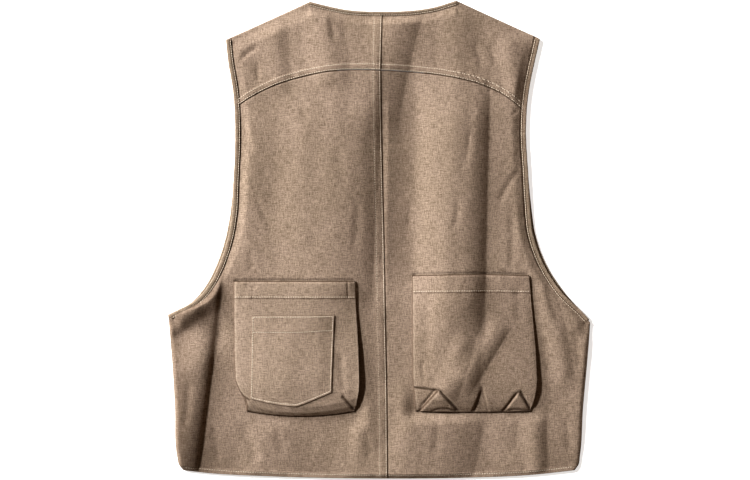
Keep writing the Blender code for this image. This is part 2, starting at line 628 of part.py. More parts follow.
def flat_out(directions):
    """Directions in plan as directions in space."""
    return np.concatenate((directions, np.zeros((len(directions), 1))), axis=1)


def armhole_binding(side):
    """One strip round the whole armhole: down the back's edge, round the underarm fold and up the front's."""
    half = ARMHOLE_BINDING_WIDTH / 2.0
    layers = []
    for front, count in zip((False, True), ARMHOLE_POINTS):
        line = armhole(side, half, front)
        start = np.argmax(line[:, 1] < shoulder_y(line[:, 0]) - SHOULDER_TURN)
        near_side = np.abs(line[:, 0]) < UNDERARM_TURN
        line = along(line[start:][near_side[start:]], np.linspace(0.0, 1.0, count))
        out = left_of(line) * (-1.0 if side < 0 else 1.0)
        layers.append((line, flat_out(out)))
    (back, back_out), (front, front_out) = layers
    inner = back - back_out[:, :2] * (half + GAP)
    back = lifted(back, back_top(inner[:, 0], inner[:, 1]) - WALL / 2.0)
    front = lifted(front, np.full(len(front), BINDING_THICK / 2.0))
    down = back[-1] - back[-2]
    down = down / np.linalg.norm(down)
    up = back[0] - back[1]
    up = up / np.linalg.norm(up)
    underarm, underarm_out = hairpin(back[-1], front[-1], down * (1, 1, 0), back_out[-1], front_out[-1])
    shoulder, shoulder_out = hairpin(back[0], front[0], up * (1, 1, 0), back_out[0], front_out[0])
    path = np.vstack((back, underarm, front[::-1], shoulder[::-1]))
    outs = np.vstack((back_out, underarm_out, front_out[::-1], shoulder_out[::-1]))
    if side > 0:
        path, outs = path[::-1], outs[::-1]
    name = "armhole_binding_left" if side < 0 else "armhole_binding_right"
    return grid_object(name, strip_surface(path, outs, ARMHOLE_BINDING_WIDTH, True), BINDING_CANVAS, around=True)


def neck_binding():
    """One strip from front edge to front edge: up the left front, across the back neck, down the right."""
    half = NECK_BINDING_WIDTH / 2.0
    back = neck_edge(NECK, half)
    back = along(back, np.linspace(BACK_NECK_TRIM, 1.0 - BACK_NECK_TRIM, NECK_POINTS[0]))
    back_out = flat_out(left_of(back))
    inner = back - back_out[:, :2] * (half + GAP)
    back = lifted(back, back_top(inner[:, 0], inner[:, 1]) - WALL / 2.0)
    line = neck_edge(FRONT_NECK, half)
    middle = centre_x(0.0)
    stretches = []
    for side in (-1, 1):
        part = line[side * (line[:, 0] - middle) > FRONT_OPENING / 2.0]
        start, end = (FRONT_NECK_TRIM, 1.0) if side < 0 else (0.0, 1.0 - FRONT_NECK_TRIM)
        part = along(part, np.linspace(start, end, NECK_POINTS[1]))
        out = flat_out(left_of(part))
        stretches.append((lifted(part, np.full(len(part), BINDING_THICK / 2.0)), out))
    (left, left_out), (right, right_out) = stretches
    left_course = back[0] - back[1] + left[0] - left[1]
    right_course = back[-1] - back[-2] + right[-1] - right[-2]
    left_course = left_course * (1, 1, 0) / np.linalg.norm(left_course[:2])
    right_course = right_course * (1, 1, 0) / np.linalg.norm(right_course[:2])
    left_turn, left_turn_out = hairpin(back[0], left[0], left_course, back_out[0], left_out[0])
    right_turn, right_turn_out = hairpin(back[-1], right[-1], right_course, back_out[-1], right_out[-1])
    path = np.vstack((left[::-1], left_turn[::-1], back, right_turn, right[::-1]))
    outs = np.vstack((left_out[::-1], left_turn_out[::-1], back_out, right_turn_out, right_out[::-1]))
    points = strip_surface(path, outs, NECK_BINDING_WIDTH, False)
    return grid_object("neck_binding", points, BINDING_CANVAS, around=True, capped=True)


def pocket_sections(rows):
    """Heights of a bellows pocket's cross-sections, with its top hem's step among them."""
    heights = [row[0] for row in rows]
    between = [(high + low) / 2.0 for high, low in zip(heights[:5], heights[1:6])]
    hem = rows[0][0] - POCKET_HEM
    return np.array(sorted(heights + between + [hem, hem - BAND_STEP]))


def pocket_row(rows, height, column):
    """Value of one column of a pocket's table at a height."""
    table = np.array(rows)[::-1]
    return np.interp(height, table[:, 0], table[:, column])


def pocket_point(rows, x, height, rise_share=1.0):
    """Point on a pocket: x, then y with the sag of its cross-section, then the face's or a wall's height."""
    left, right = pocket_row(rows, height, 2), pocket_row(rows, height, 3)
    share = np.clip((x - left) / (right - left), 0.0, 1.0)
    middle = 1.0 - (2.0 * share - 1.0) ** 2
    y = height - pocket_row(rows, height, 8) * middle
    left_rise, right_rise = pocket_row(rows, height, 5), pocket_row(rows, height, 6)
    rise = left_rise + (right_rise - left_rise) * share
    rise = rise + pocket_row(rows, height, 7) * np.sqrt(middle)
    rise = rise - np.minimum(fold_depth(POCKET_FOLDS, x, y), MOST_FOLD * rise)
    in_hem = smoothstep((height - (rows[0][0] - POCKET_HEM - BAND_STEP)) / BAND_STEP)
    z = back_top(x, y) + GAP + WALL + (rise + SEAM_BULK * in_hem) * rise_share
    return np.stack(np.broadcast_arrays(x, y, z), axis=-1)


def bellows_pocket(name, rows):
    """Pocket with a face that stands off the back on side and bottom walls, open at its mouth."""
    heights = pocket_sections(rows)
    columns = [(1, 2, 0.0, 0.0), (1, 2, WALL_SHARE, WALL_SHARE)]
    columns += [(2, 3, share, 1.0) for share in np.linspace(0.0, 1.0, FACE_COLUMNS)]
    columns += [(4, 3, WALL_SHARE, WALL_SHARE), (4, 3, 0.0, 0.0)]
    grid = []
    for start, end, share, rise_share in columns:
        start_x, end_x = pocket_row(rows, heights, start), pocket_row(rows, heights, end)
        grid.append(pocket_point(rows, start_x + (end_x - start_x) * share, heights, rise_share))
    return sheet_object(name, np.stack(grid, axis=1), POCKET_CANVAS)


def patch_pocket():
    """Flat pocket on the left bellows pocket's face, its points the face's own, moved out."""
    low_left, low_middle, low_right, high_right, high_left = [np.array(corner) for corner in PATCH_CORNERS]
    turn = (low_middle[0] - low_left[0]) / (low_right[0] - low_left[0])
    across = spaced((0.0, turn, PATCH_COLUMNS[0]), (turn, 1.0, PATCH_COLUMNS[1]))
    height = high_left[1] - low_left[1]
    hem, hem_low = PATCH_HEM / height, (PATCH_HEM + BAND_STEP) / height
    up = spaced((0.0, 1.0 - hem_low, PATCH_ROWS[0]), (1.0 - hem_low, 1.0 - hem, 1), (1.0 - hem, 1.0, PATCH_ROWS[1]))
    before = across <= turn
    bottom = np.vstack((along(np.vstack((low_left, low_middle)), across[before] / turn),
                        along(np.vstack((low_middle, low_right)), (across[~before] - turn) / (1.0 - turn))))
    top = high_left + (high_right - high_left) * across[:, None]
    left = low_left + (high_left - low_left) * up[:, None]
    right = low_right + (high_right - low_right) * up[:, None]
    plan = patch(bottom, top, left, right, across, up)
    points = pocket_point(POCKET_LEFT, plan[..., 0], plan[..., 1])
    in_hem = smoothstep((plan[..., 1] - (high_left[1] - PATCH_HEM - BAND_STEP)) / BAND_STEP)
    points[..., 2] += PATCH_GAP + WALL + SEAM_BULK * in_hem
    return sheet_object("patch_pocket", points, POCKET_CANVAS)


def main():
    for old in list(bpy.data.objects):
        bpy.data.objects.remove(old)
    collection_for("vest")
    for side in (-1, 1):
        front_panel(side)
        back_panel(side)
        yoke_panel(side)
        armhole_binding(side)
    neck_binding()
    bellows_pocket("pocket_left", POCKET_LEFT)
    bellows_pocket("pocket_right", POCKET_RIGHT)
    patch_pocket()


main()
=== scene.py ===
"""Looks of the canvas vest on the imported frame: creased cloth shells, real stitches and woven canvas.

Sizes are in millimetres, and MM turns them to metres where points are placed. X runs to the right,
Y towards the neck and Z up from the floor. Left and right are those of a viewer who looks down on the back.
The outlines, the folds and the pockets' sections are those of the part's source, drawn finer.
"""
import math

import bmesh
import bpy
import numpy as np
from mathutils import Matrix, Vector


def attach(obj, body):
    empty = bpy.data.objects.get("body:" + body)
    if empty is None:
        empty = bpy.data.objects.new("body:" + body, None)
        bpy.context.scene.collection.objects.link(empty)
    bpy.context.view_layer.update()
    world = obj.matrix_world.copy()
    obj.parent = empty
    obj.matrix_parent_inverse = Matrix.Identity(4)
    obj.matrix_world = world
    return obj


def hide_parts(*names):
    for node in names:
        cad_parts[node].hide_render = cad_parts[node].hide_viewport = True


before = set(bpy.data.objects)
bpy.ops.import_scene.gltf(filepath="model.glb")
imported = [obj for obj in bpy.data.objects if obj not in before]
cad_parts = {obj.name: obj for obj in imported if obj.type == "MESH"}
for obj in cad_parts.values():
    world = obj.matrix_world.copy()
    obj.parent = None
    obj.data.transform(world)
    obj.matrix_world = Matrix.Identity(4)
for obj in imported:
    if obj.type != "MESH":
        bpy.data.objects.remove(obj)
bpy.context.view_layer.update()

MM = 0.001

# Cloth and levels, as in the part
WALL = 1.1
GAP = 0.3
FRONT_TOP = 1.2
FRONT_THIN = 0.05
LOFT = 7.2
LOWEST = 2.9
LOWEST_EASE = 0.7
SIDE_LEVEL = 2.7
BOUND_LEVEL = 4.7
HEM_LEVEL = 4.3
SIDE_ROUNDING = 7
SHOULDER_ROUNDING = 26
BOUND_ROUNDING = 14
HEM_ROUNDING = 8
LEVEL_CHANGE = 34
SEAM_BULK = 0.7
FELLED_BULK = 0.4
POCKET_SEAT = 1.5
FOOT_RISE = 1.4

ARMHOLE_BINDING_WIDTH = 7
NECK_BINDING_WIDTH = 5.6
HEM_DEPTH = 6.5
HEM_STITCH = 5
FELLED_WIDTH = 11.5
FELLED_STITCHES = (1.5, 10.6)
YOKE_SEAM_WIDTH = 8.6
YOKE_STITCHES = (1.3, 7.7)
POCKET_HEM = 23.5
POCKET_STITCH = 22
BAND_STEP = 1

# Side edges below the arms. Columns: height, left edge, right edge
SIDES = (
    (-318, -271, 269.5),
    (-311, -276.5, 274.5),
    (-299, -279.3, 276.6),
    (-232.5, -282.3, 281),
    (-166, -286.3, 287),
    (-133, -289, 289.6),
    (-102, -290.8, 290.8),
)

# Armhole edges from the shoulder tip to the underarm. Columns: x, y
ARMHOLE_LEFT = ((-212, 275.5), (-209, 248), (-201.5, 200), (-199.2, 150), (-201.5, 85), (-206.5, 32),
                (-219, -20), (-238, -61), (-257, -84.5), (-290, -103))
ARMHOLE_RIGHT = ((221.5, 277), (214.8, 248), (205, 198), (202, 150), (204.5, 100), (208.5, 55),
                 (217, 0), (231, -36), (251.5, -68), (290, -111))
ARMHOLES = {-1: ARMHOLE_LEFT, 1: ARMHOLE_RIGHT}
FRONT_PEEK = 3.2
PEEK_FROM, PEEK_TO = 0.42, 0.97

# Neck, hem and seams, from left to right. Columns: x, y
NECK = ((-96, 328), (-74, 322.5), (-40, 316), (0, 314.3), (43.5, 315.5), (72, 319.5), (106, 329.5))
FRONT_NECK = ((-96, 328), (-88, 292), (-62, 238), (-30, 205), (0, 192), (34, 205),
              (68, 238), (96, 292), (106, 329.5))
HEM = ((-271, -318), (-235, -322), (-151, -326.5), (8, -329.5), (115, -328.5), (215, -324),
       (269.5, -318))
YOKE_SEAM = ((-206, 176), (-192.5, 186.5), (-149, 210.5), (-105, 224.5), (-54.5, 232.5), (1, 233),
             (50, 230.5), (106, 222.5), (139, 214), (163, 204), (210, 170))
YOKE_SEAM_MIDDLE = 233
NECK_MIDDLE = 310
# Centre back seam. Columns: y, x
CENTRE_SEAM = ((-335, 11), (-222, 10.1), (-139, 8.6), (0, 6), (120, 3.4), (233, 1.9), (320, 3.8))
FRONT_OPENING = 3

# Main folds of the back. A fold runs from a start to an end with a bow to its left. Its two walls have their
# own widths, as seen when looking from start to end. A positive depth is a trough and a negative one a ridge.
# Sharp says, from 0 to 1, how far a trough's bottom or the foot of a ridge's right wall is a crease.
# Columns: start x, start y, end x, end y, bow, depth, left width, right width, sharp
FOLDS = (
    (-320, -440, -254, 90, -7, -8.8, 90, 49, 0.95),
    (-281, -440, -215, 96, -7, -3.8, 44, 12, 0.95),
    (-310, -156, -218, -96, 0, 7.6, 20, 52, 0),
    (-70, -160, -44, 330, 0, -7.2, 110, 55, 0.6),
    (-29, -330, -26, -60, 0, -2.6, 16, 38, 0.3),
    (26, -110, 38, 270, 0, 3.8, 40, 42, 0),
    (2, -100, 6, 232, 0, 1.9, 30, 8, 0.3),
    (96, -230, 107, 250, 0, -9.6, 58, 46, 1),
    (20, -400, 60, -192, 0, -7.6, 60, 94, 0.95),
    (460, -336, -460, -332, 0, 3.2, 90, 90, 0),
    (196, -340, 196, -200, 0, -2.2, 60, 40, 0),
    (-20, -362, -10, -190, 0, -3, 60, 40, 0.1),
    (-170, -362, -150, -200, 0, -2.2, 40, 60, 0),
    (256, -214, 214, -44, -8, -2.8, 26, 15, 0.4),
    (218, -350, 214, -226, 0, -2.6, 20, 15, 0.6),
    (-8, 130, 40, 350, 8, -4.6, 46, 33, 0.6),
    (110, 190, 104, 330, 0, -2.2, 34, 40, 0),
    (-138, 190, -146, 324, 0, -2.8, 34, 20, 0.2),
    (-64, 200, -80, 336, 0, -3.2, 36, 28, 0.2),
    (-178, -60, -166, 190, 6, -1.8, 20, 44, 0),
    (-112, -60, -100, 200, 4, -1.2, 40, 24, 0.2),
    (4, -300, 40, -226, 6, 0.9, 24, 20, 0),
    (-194, -250, -170, -315, 4, 1.2, 14, 12, 0.2),
    (-194, 244, -164, 266, 2, 1.4, 9, 6, 0.5),
    (176, 286, 190, 186, 0, -2.4, 20, 18, 0.3),
    (162, 46, 200, 104, 3, 1.2, 9, 9, 0.4),
    (-194, 166, -176, 114, 2, 1.4, 9, 10, 0.3),
)
FOLD_FADE = 0.22

# Smaller creases, in the same columns
CREASES = (
    (111, 140, 111, 82, 4, 0.4, 8, 7, 0.2),
    (107, 58, 100, 12, 3, 0.7, 8, 7, 0.3),
    (42, 56, 30, -10, 2, 1.1, 9, 6, 0.5),
    (181, 46, 181, -44, 2, 0.9, 10, 9, 0.2),
    (124, 196, 118, 100, 3, 0.6, 12, 12, 0.1),
    (120, 100, 126, 150, 2, 0.7, 6, 6, 0.3),
    (130, 274, 142, 236, 0, 0.9, 8, 8, 0.2),
    (152, 270, 160, 238, 0, 0.8, 8, 7, 0.2),
    (-68, 312, -62, 268, 0, 0.9, 9, 8, 0.2),
    (-168, 246, -167, 216, 0, 0.9, 7, 6, 0.4),
    (33, 309, 36, 292, 0, 0.6, 3.5, 3.5, 0.6),
    (-172, 58, -148, 2, 3, 0.7, 9, 7, 0.3),
    (-182, -14, -176, -46, 2, 0.7, 9, 8, 0.2),
    (-186, 110, -178, 86, 0, 0.6, 5, 5, 0.4),
    (-60, 130, -52, 66, 3, 0.6, 14, 12, 0.1),
    (-30, 60, -36, -20, 2, 0.8, 10, 9, 0.2),
    (-110, 200, -104, 150, 2, 0.5, 12, 12, 0.1),
    (196, 130, 186, 112, 0, 0.9, 5, 4, 0.6),
    (198, 186, 180, 168, 0, 0.9, 4, 4, 0.7),
    (182, 184, 198, 166, 0, 0.8, 4, 4, 0.7),
    (203, 60, 196, 20, 0, 0.8, 6, 5, 0.4),
    (230, -60, 250, -118, -3, 1.3, 10, 9, 0.3),
    (268, -120, 276, -180, 0, 0.9, 9, 8, 0.2),
    (-20, -262, -14, -310, 2, 0.7, 10, 9, 0.2),
    (-90, -256, -98, -306, 2, 0.6, 12, 12, 0.1),
    (-140, -250, -132, -300, -2, 0.7, 10, 10, 0.2),
    (-230, -250, -222, -310, 0, 0.9, 8, 8, 0.2),
    (80, -244, 74, -300, 2, 0.8, 11, 10, 0.2),
    (190, -244, 184, -296, 2, 0.8, 11, 10, 0.2),
    (256, -240, 260, -300, 2, 0.8, 9, 9, 0.2),
    (-262, -190, -268, -260, 2, 1.2, 9, 8, 0.3),
    (-246, -96, -228, -66, 0, 0.8, 6, 6, 0.3),
)

# Bellows pockets: a row for each cross-section, from the mouth to the bottom seam. The walls stand on the
# back at the feet, and the face bulges between its two edges, which lie at the rises above the back.
# Columns: height, left foot, left edge, right edge, right foot, left rise, right rise, bulge, sag of the row
POCKET_LEFT = (
    (-57, -200.8, -200.2, -33.8, -35, 0.6, 0.4, 3.4, 0),
    (-100, -200.8, -200.2, -31.5, -33.5, 1.2, 1.6, 3.8, 0),
    (-155, -200.4, -199.6, -28.6, -32, 2.8, 5.2, 3.4, 0),
    (-194, -198.8, -197.8, -27.6, -32.5, 4.4, 6.8, 3, 4),
    (-207, -194, -191.5, -28.2, -34, 5.2, 7.2, 2.4, 9),
    (-217, -188, -184.5, -30, -35.5, 5.4, 6.8, 1.8, 13),
    (-227, -184.5, -181, -32, -36.5, 3.8, 4.6, 0.8, 11.5),
    (-236.5, -183, -181, -33.5, -36.5, 0, 0, 0, 7),
)
POCKET_RIGHT = (
    (-49.5, 44.8, 45.3, 205.8, 205, 0.6, 0.4, 3.4, -1.8),
    (-104, 44.8, 45.3, 211, 210, 1.2, 1, 3.9, 0),
    (-152, 45, 45.5, 215, 213.5, 2.8, 2.4, 3.8, 0),
    (-192, 45.4, 46, 216.8, 214.5, 4.6, 3.8, 3.2, 0),
    (-207, 46.5, 47.4, 215.5, 213, 5.2, 4.4, 2.6, 0),
    (-220, 47.5, 48.6, 212.5, 210, 4.6, 4.2, 1.8, 0.5),
    (-230, 48.5, 49.5, 209.5, 207.5, 2.8, 2.8, 0.8, 1),
    (-236.5, 49.5, 50, 207.5, 206, 0, 0, 0, 1.5),
)
COVER_FADE = 18
COVER_STEP = 22
MOUTH_FREE = 130

# Folds of the pockets' faces, in the same columns as FOLDS
POCKET_FOLDS = (
    (93, -250, 98, -50, 0, -3.4, 50, 44, 0.9),
    (86, -228, 120, -126, 0, -2.4, 22, 17, 0.5),
    (105, -212, 172, -104, 0, -3.2, 22, 17, 0.7),
    (-130, -225, -116, -110, 5, -1.2, 30, 30, 0),
    (-186, -60, -168, -68, 0, 1.2, 6, 6, 0.2),
    (-48, -210, -52, -150, 2, 0.9, 8, 8, 0.2),
    (62, -196, 58, -166, 0, 0.9, 5, 5, 0.4),
    (66, -190, 70, -60, 3, 0.8, 12, 12, 0.1),
    (194, -120, 188, -60, 0, 0.7, 10, 10, 0.1),
)
MOST_FOLD = 0.62
MOUTH_DENT = 1.8
EDGE_LIFTS = ((-1, -262, -94, 40, 9), (1, 258, -80, 24, 1.6), (-1, -206, 240, 40, 0.8))

# Patch pocket on the left bellows pocket, anticlockwise from its lower left corner.
# Columns: x, height of the bellows pocket's cross-section that the corner lies on
PATCH_CORNERS = ((-177.5, -216), (-114.5, -216.8), (-65.5, -204.2), (-61.5, -104), (-175.5, -104.5))
PATCH_HEM = 23
PATCH_STITCH = 2.2
PATCH_WALL = 1
PATCH_BULGE = 1.3

# Fineness of the shells
CELL = 2.1
PANEL_COLUMNS = int(230 / CELL)
POCKET_CELL = 1.5
FINE = np.linspace(0, 1, 400)


def smoothstep(value):
    """Nought up to 0, one from 1 on, and smooth between them."""
    value = np.clip(value, 0, 1)
    return value * value * (3 - 2 * value)


def bell(off, width):
    """One at no distance, and less and less over a width on either side."""
    return np.exp(-(off / width) ** 2)


def band(off, width):
    """One from an edge to a width in from it, and nought beyond the step there."""
    return smoothstep((width + BAND_STEP - off) / BAND_STEP)


def joined(*axes):
    """Points from arrays of their coordinates."""
    return np.stack(np.broadcast_arrays(*axes), axis=-1)


def through(knots, values, at):
    """Value of the smooth curve through the values at the knots, in cubic pieces with matching slopes."""
    knots = np.asarray(knots, float)
    values = np.asarray(values, float)
    step = np.diff(knots)
    slope = np.diff(values) / step
    inner = (slope[:-1] * step[1:] + slope[1:] * step[:-1]) / (step[:-1] + step[1:])
    tangent = np.concatenate(([slope[0]], inner, [slope[-1]]))
    at = np.clip(at, knots[0], knots[-1])
    piece = np.clip(np.searchsorted(knots, at) - 1, 0, len(step) - 1)
    t = (at - knots[piece]) / step[piece]
    rest = 1 - t
    start = (1 + 2 * t) * rest * rest * values[piece] + t * rest * rest * step[piece] * tangent[piece]
    end = t * t * (3 - 2 * t) * values[piece + 1] - t * t * rest * step[piece] * tangent[piece + 1]
    return start + end


def run_along(points, axis=0):
    """Length run along one axis of a line or grid of points."""
    steps = np.linalg.norm(np.diff(points, axis=axis), axis=-1)
    return np.concatenate((np.zeros_like(steps.take([0], axis)), np.cumsum(steps, axis=axis)), axis=axis)


def along(line, fractions):
    """Points at fractions of the length of a fine polyline, in plan or in space."""
    run = run_along(line)
    run = run / run[-1]
    return np.stack([np.interp(fractions, run, line[:, axis]) for axis in range(line.shape[1])], axis=-1)


def length_of(line):
    """Length of a polyline."""
    return float(run_along(line)[-1])


def trace(points, fractions):
    """Points at fractions of the length of the smooth curve through a short list of points."""
    points = np.asarray(points, float)
    chord = run_along(points)
    fine = np.linspace(0, chord[-1], 900)
    return along(joined(through(chord, points[:, 0], fine), through(chord, points[:, 1], fine)),
                 fractions)


def unit(vectors):
    """Vectors of the same directions with a length of one."""
    return vectors / np.linalg.norm(vectors, axis=-1, keepdims=True)


def left_of(line):
    """Unit directions to the left of a polyline's course."""
    course = unit(np.gradient(line, axis=0))
    return joined(-course[:, 1], course[:, 0])


def armhole(side, inset=0, front=False):
    """Fine line of an armhole edge from the shoulder tip to the underarm, moved inwards by the inset."""
    line = trace(ARMHOLES[side], FINE)
    peek = 0 if front else FRONT_PEEK
    peek = peek * smoothstep((FINE - PEEK_FROM) / 0.25) * smoothstep((PEEK_TO - FINE) / 0.12)
    inwards = left_of(line) * (1 if side < 0 else -1)
    return line + inwards * (inset + peek)[:, None]


SIDE_TABLE = np.array(SIDES)
SIDE_CORNERS = {-1: SIDES[0][1], 1: SIDES[0][2]}
UNDERARMS = {side: line[-1][1] for side, line in ARMHOLES.items()}
ARMHOLE_LINES = {side: armhole(side)[::-1] for side in (-1, 1)}
HEM_LINE, NECK_LINE, YOKE_LINE = trace(HEM, FINE), trace(NECK, FINE), trace(YOKE_SEAM, FINE)


def side_x(side, y):
    return through(SIDE_TABLE[:, 0], SIDE_TABLE[:, 1 if side < 0 else 2], y)


def outline_x(side, y):
    """X of the back's outer edge, side or armhole, at each height."""
    line = ARMHOLE_LINES[side]
    return np.where(y < line[0, 1], side_x(side, y), np.interp(y, line[:, 1], line[:, 0]))


def on_line(line, x):
    """Y of a line that runs from left to right, at each x."""
    return np.interp(x, line[:, 0], line[:, 1])


def hem_y(x):
    return on_line(HEM_LINE, x)


def neck_y(x):
    return on_line(NECK_LINE, x)


def yoke_y(x):
    return on_line(YOKE_LINE, x)


def centre_x(y):
    rows = np.array(CENTRE_SEAM)
    return through(rows[:, 0], rows[:, 1], y)


def shoulder_y(x):
    """Y of the shoulder lines, straight from each neck point to its shoulder tip."""
    (left_tip_x, left_tip_y), (right_tip_x, right_tip_y) = ARMHOLE_LEFT[0], ARMHOLE_RIGHT[0]
    (left_neck_x, left_neck_y), (right_neck_x, right_neck_y) = NECK[0], NECK[-1]
    return np.interp(x, (left_tip_x, left_neck_x, right_neck_x, right_tip_x),
                     (left_tip_y, left_neck_y, right_neck_y, right_tip_y))


def noise(x, y, seed):
    """Smooth noise between -1 and 1, one wave a unit, the same each time."""
    def lattice(i, j):
        value = np.sin(i * 127.1 + j * 311.7 + seed * 74.7) * 43758.5453
        return 2 * (value - np.floor(value)) - 1
    i, j = np.floor(x), np.floor(y)
    u, v = smoothstep(x - i), smoothstep(y - j)
    low = lattice(i, j) * (1 - u) + lattice(i + 1, j) * u
    high = lattice(i, j + 1) * (1 - u) + lattice(i + 1, j + 1) * u
    return low * (1 - v) + high * v


def fold_depth(folds, x, y):
    """Summed depth of a table of folds at each point."""
    total = np.zeros_like(x)
    for start_x, start_y, end_x, end_y, bow, depth, left_width, right_width, sharp in folds:
        run_x, run_y = end_x - start_x, end_y - start_y
        length = math.hypot(run_x, run_y)
        t = ((x - start_x) * run_x + (y - start_y) * run_y) / length ** 2
        off = ((x - start_x) * run_y - (y - start_y) * run_x) / length
        off = off + 4 * bow * t * (1 - t)
        part = np.clip(np.abs(off) / np.where(off < 0, left_width, right_width), 0, 1)
        if depth > 0:
            crease, creased = (1 - part) ** 2, sharp
        else:
            crease, creased = 1 - part ** 3, np.where(off < 0, 0, sharp)
        wall = (1 - creased) * (1 - smoothstep(part)) + creased * crease
        ends = smoothstep(t / FOLD_FADE) * smoothstep((1 - t) / FOLD_FADE)
        total += depth * wall * ends
    return total


def pocket_cover(x, y):
    """One where a bellows pocket's walls stand on the back, nought away from both pockets."""
    cover = np.zeros_like(x)
    for rows in (POCKET_LEFT, POCKET_RIGHT):
        table = np.array(rows)
        left, right = table[:, 1].min(), table[:, 4].max()
        low, high = table[:, 0].min() - table[:, 8].max(), table[:, 0].max()
        inside = smoothstep((high - y) / MOUTH_FREE)
        for off in (x - left, right - x, y - low):
            inside = inside * smoothstep((off + COVER_FADE) / COVER_STEP)
        cover = np.maximum(cover, inside)
    return cover


def unevenness(x, y):
    """Slack of the washed cloth, in millimetres."""
    broad = 0.55 * noise(x / 46, y / 70, 3)
    middle = 0.24 * noise(x / 15, y / 22, 5)
    fine = 0.09 * noise(x / 6, y / 7, 8)
    return broad + middle + fine


def pucker(run, off, seed, reach=7, wave=7.5, height=0.32):
    """Small gathers beside a sewn seam: run is the place along it, off the distance from it."""
    ripple = noise(run / wave, off / 30 + seed, seed) + 0.5 * noise(run / (wave * 0.45), off / 14, seed + 9)
    return height * ripple * np.exp(-np.abs(off) / reach)


def back_top(x, y):
    """Height of the back's outer side above the floor."""
    x, y = np.asarray(x, float), np.asarray(y, float)
    open_cloth = 1 - pocket_cover(x, y)
    height = LOFT - (fold_depth(FOLDS, x, y) + fold_depth(CREASES, x, y)) * open_cloth
    height += unevenness(x, y) * open_cloth
    spare = height - LOWEST
    height = LOWEST + (spare + np.sqrt(spare ** 2 + LOWEST_EASE ** 2)) / 2
    neck = neck_y(x) - y - NECK_BINDING_WIDTH
    height = BOUND_LEVEL + (height - BOUND_LEVEL) * smoothstep(neck / BOUND_ROUNDING)
    height = HEM_LEVEL + (height - HEM_LEVEL) * smoothstep((y - hem_y(x)) / HEM_ROUNDING)
    for (mouth, _, left, right, *_, sag), *_ in (POCKET_LEFT, POCKET_RIGHT):
        above = y - mouth + sag * (1 - (2 * (x - left) / (right - left) - 1) ** 2)
        beside = smoothstep((x - left + 1) / 3) * smoothstep((right + 1 - x) / 3)
        height -= MOUTH_DENT * beside * bell(above - 0.2, 1.7)
    for side in (-1, 1):
        in_from_edge = side * (outline_x(side, y) - x)
        bound = smoothstep((y - UNDERARMS[side] + LEVEL_CHANGE) / LEVEL_CHANGE)
        lift = sum(rise * np.exp(-((x - at_x) ** 2 + (y - at_y) ** 2) / reach ** 2)
                   for where, at_x, at_y, reach, rise in EDGE_LIFTS if where == side)
        level = SIDE_LEVEL + (BOUND_LEVEL + lift - SIDE_LEVEL) * bound
        rolled = 1 - (1 - np.clip(in_from_edge / SIDE_ROUNDING, 0, 1)) ** 3
        sewn = smoothstep((in_from_edge - ARMHOLE_BINDING_WIDTH) / BOUND_ROUNDING)
        height = level + (height - level) * (rolled + (sewn - rolled) * bound)
    for neck_point, tip in ((NECK[0], ARMHOLE_LEFT[0]), (NECK[-1], ARMHOLE_RIGHT[0])):
        share = (x - neck_point[0]) / (tip[0] - neck_point[0])
        middle = smoothstep(share / 0.3) * smoothstep((1 - share) / 0.3)
        level = BOUND_LEVEL + (SIDE_LEVEL - BOUND_LEVEL) * middle
        in_from_edge = np.where(share > 0, shoulder_y(x) - y, SHOULDER_ROUNDING)
        height = level + (height - level) * smoothstep(in_from_edge / SHOULDER_ROUNDING)
    return height


def groove(off, places, depth=0.34, width=0.75):
    """Dents of stitch rows at distances from an edge."""
    return -sum(depth * bell(off - place, width) for place in places)


def round_over(off, radius):
    """How far a folded edge falls away at a distance in from it."""
    rest = np.clip(radius - off, 0, radius)
    return radius - np.sqrt(np.maximum(radius ** 2 - rest ** 2, 0))


def spread(width, near_start, near_end, steps):
    """Shares of a width: given distances in from both ends, and even steps between them."""
    start = np.array(near_start) / width
    end = 1 - np.array(near_end)[::-1] / width
    return np.concatenate((start, np.linspace(start[-1], end[0], steps + 1)[1:-1], end))


def in_two(length, turn, lines, nears, steps):
    """Shares of an edge that turns at a share of its length, and the points of its two lines there."""
    first = spread(length * turn, *nears[0], steps[0])
    second = spread(length * (1 - turn), *nears[1], steps[1])[1:]
    points = np.vstack((along(np.vstack(lines[0]), first), along(np.vstack(lines[1]), second)))
    return np.concatenate((first * turn, turn + second * (1 - turn))), points


def patch(bottom, top, left, right, across, up):
    """Grid of points that fills four edge lines, rows from bottom to top."""
    u = across[None, :, None]
    v = up[:, None, None]
    rows = (1 - v) * bottom[None] + v * top[None]
    columns = (1 - u) * left[:, None] + u * right[:, None]
    low = (1 - u) * bottom[0] + u * bottom[-1]
    high = (1 - u) * top[0] + u * top[-1]
    return rows + columns - ((1 - v) * low + v * high)


def panel_plan(side, bottom, top, outer, inner, up):
    """Plan of a panel between its four edges, always from left to right."""
    across = (bottom[:, 0] - bottom[0, 0]) / (bottom[-1, 0] - bottom[0, 0])
    plan = patch(bottom, top, outer, inner, across, up)
    return plan[:, ::-1] if side > 0 else plan


# Materials

def new_material(name, surface):
    """Material with its shader's values set, and two functions: one feeds the shader, one adds nodes."""
    material = bpy.data.materials.new(name)
    material.use_nodes = True
    tree = material.node_tree
    shader = tree.nodes["Principled BSDF"]

    def feed(sockets, inputs):
        for key, value in inputs.items():
            if isinstance(value, bpy.types.NodeSocket):
                tree.links.new(value, sockets[key])
            else:
                sockets[key].default_value = value

    def node(kind, inputs, **settings):
        made = tree.nodes.new(kind)
        for key, value in settings.items():
            setattr(made, key, value)
        feed(made.inputs, inputs)
        return made.outputs

    feed(shader.inputs, surface)
    return material, lambda inputs: feed(shader.inputs, inputs), node


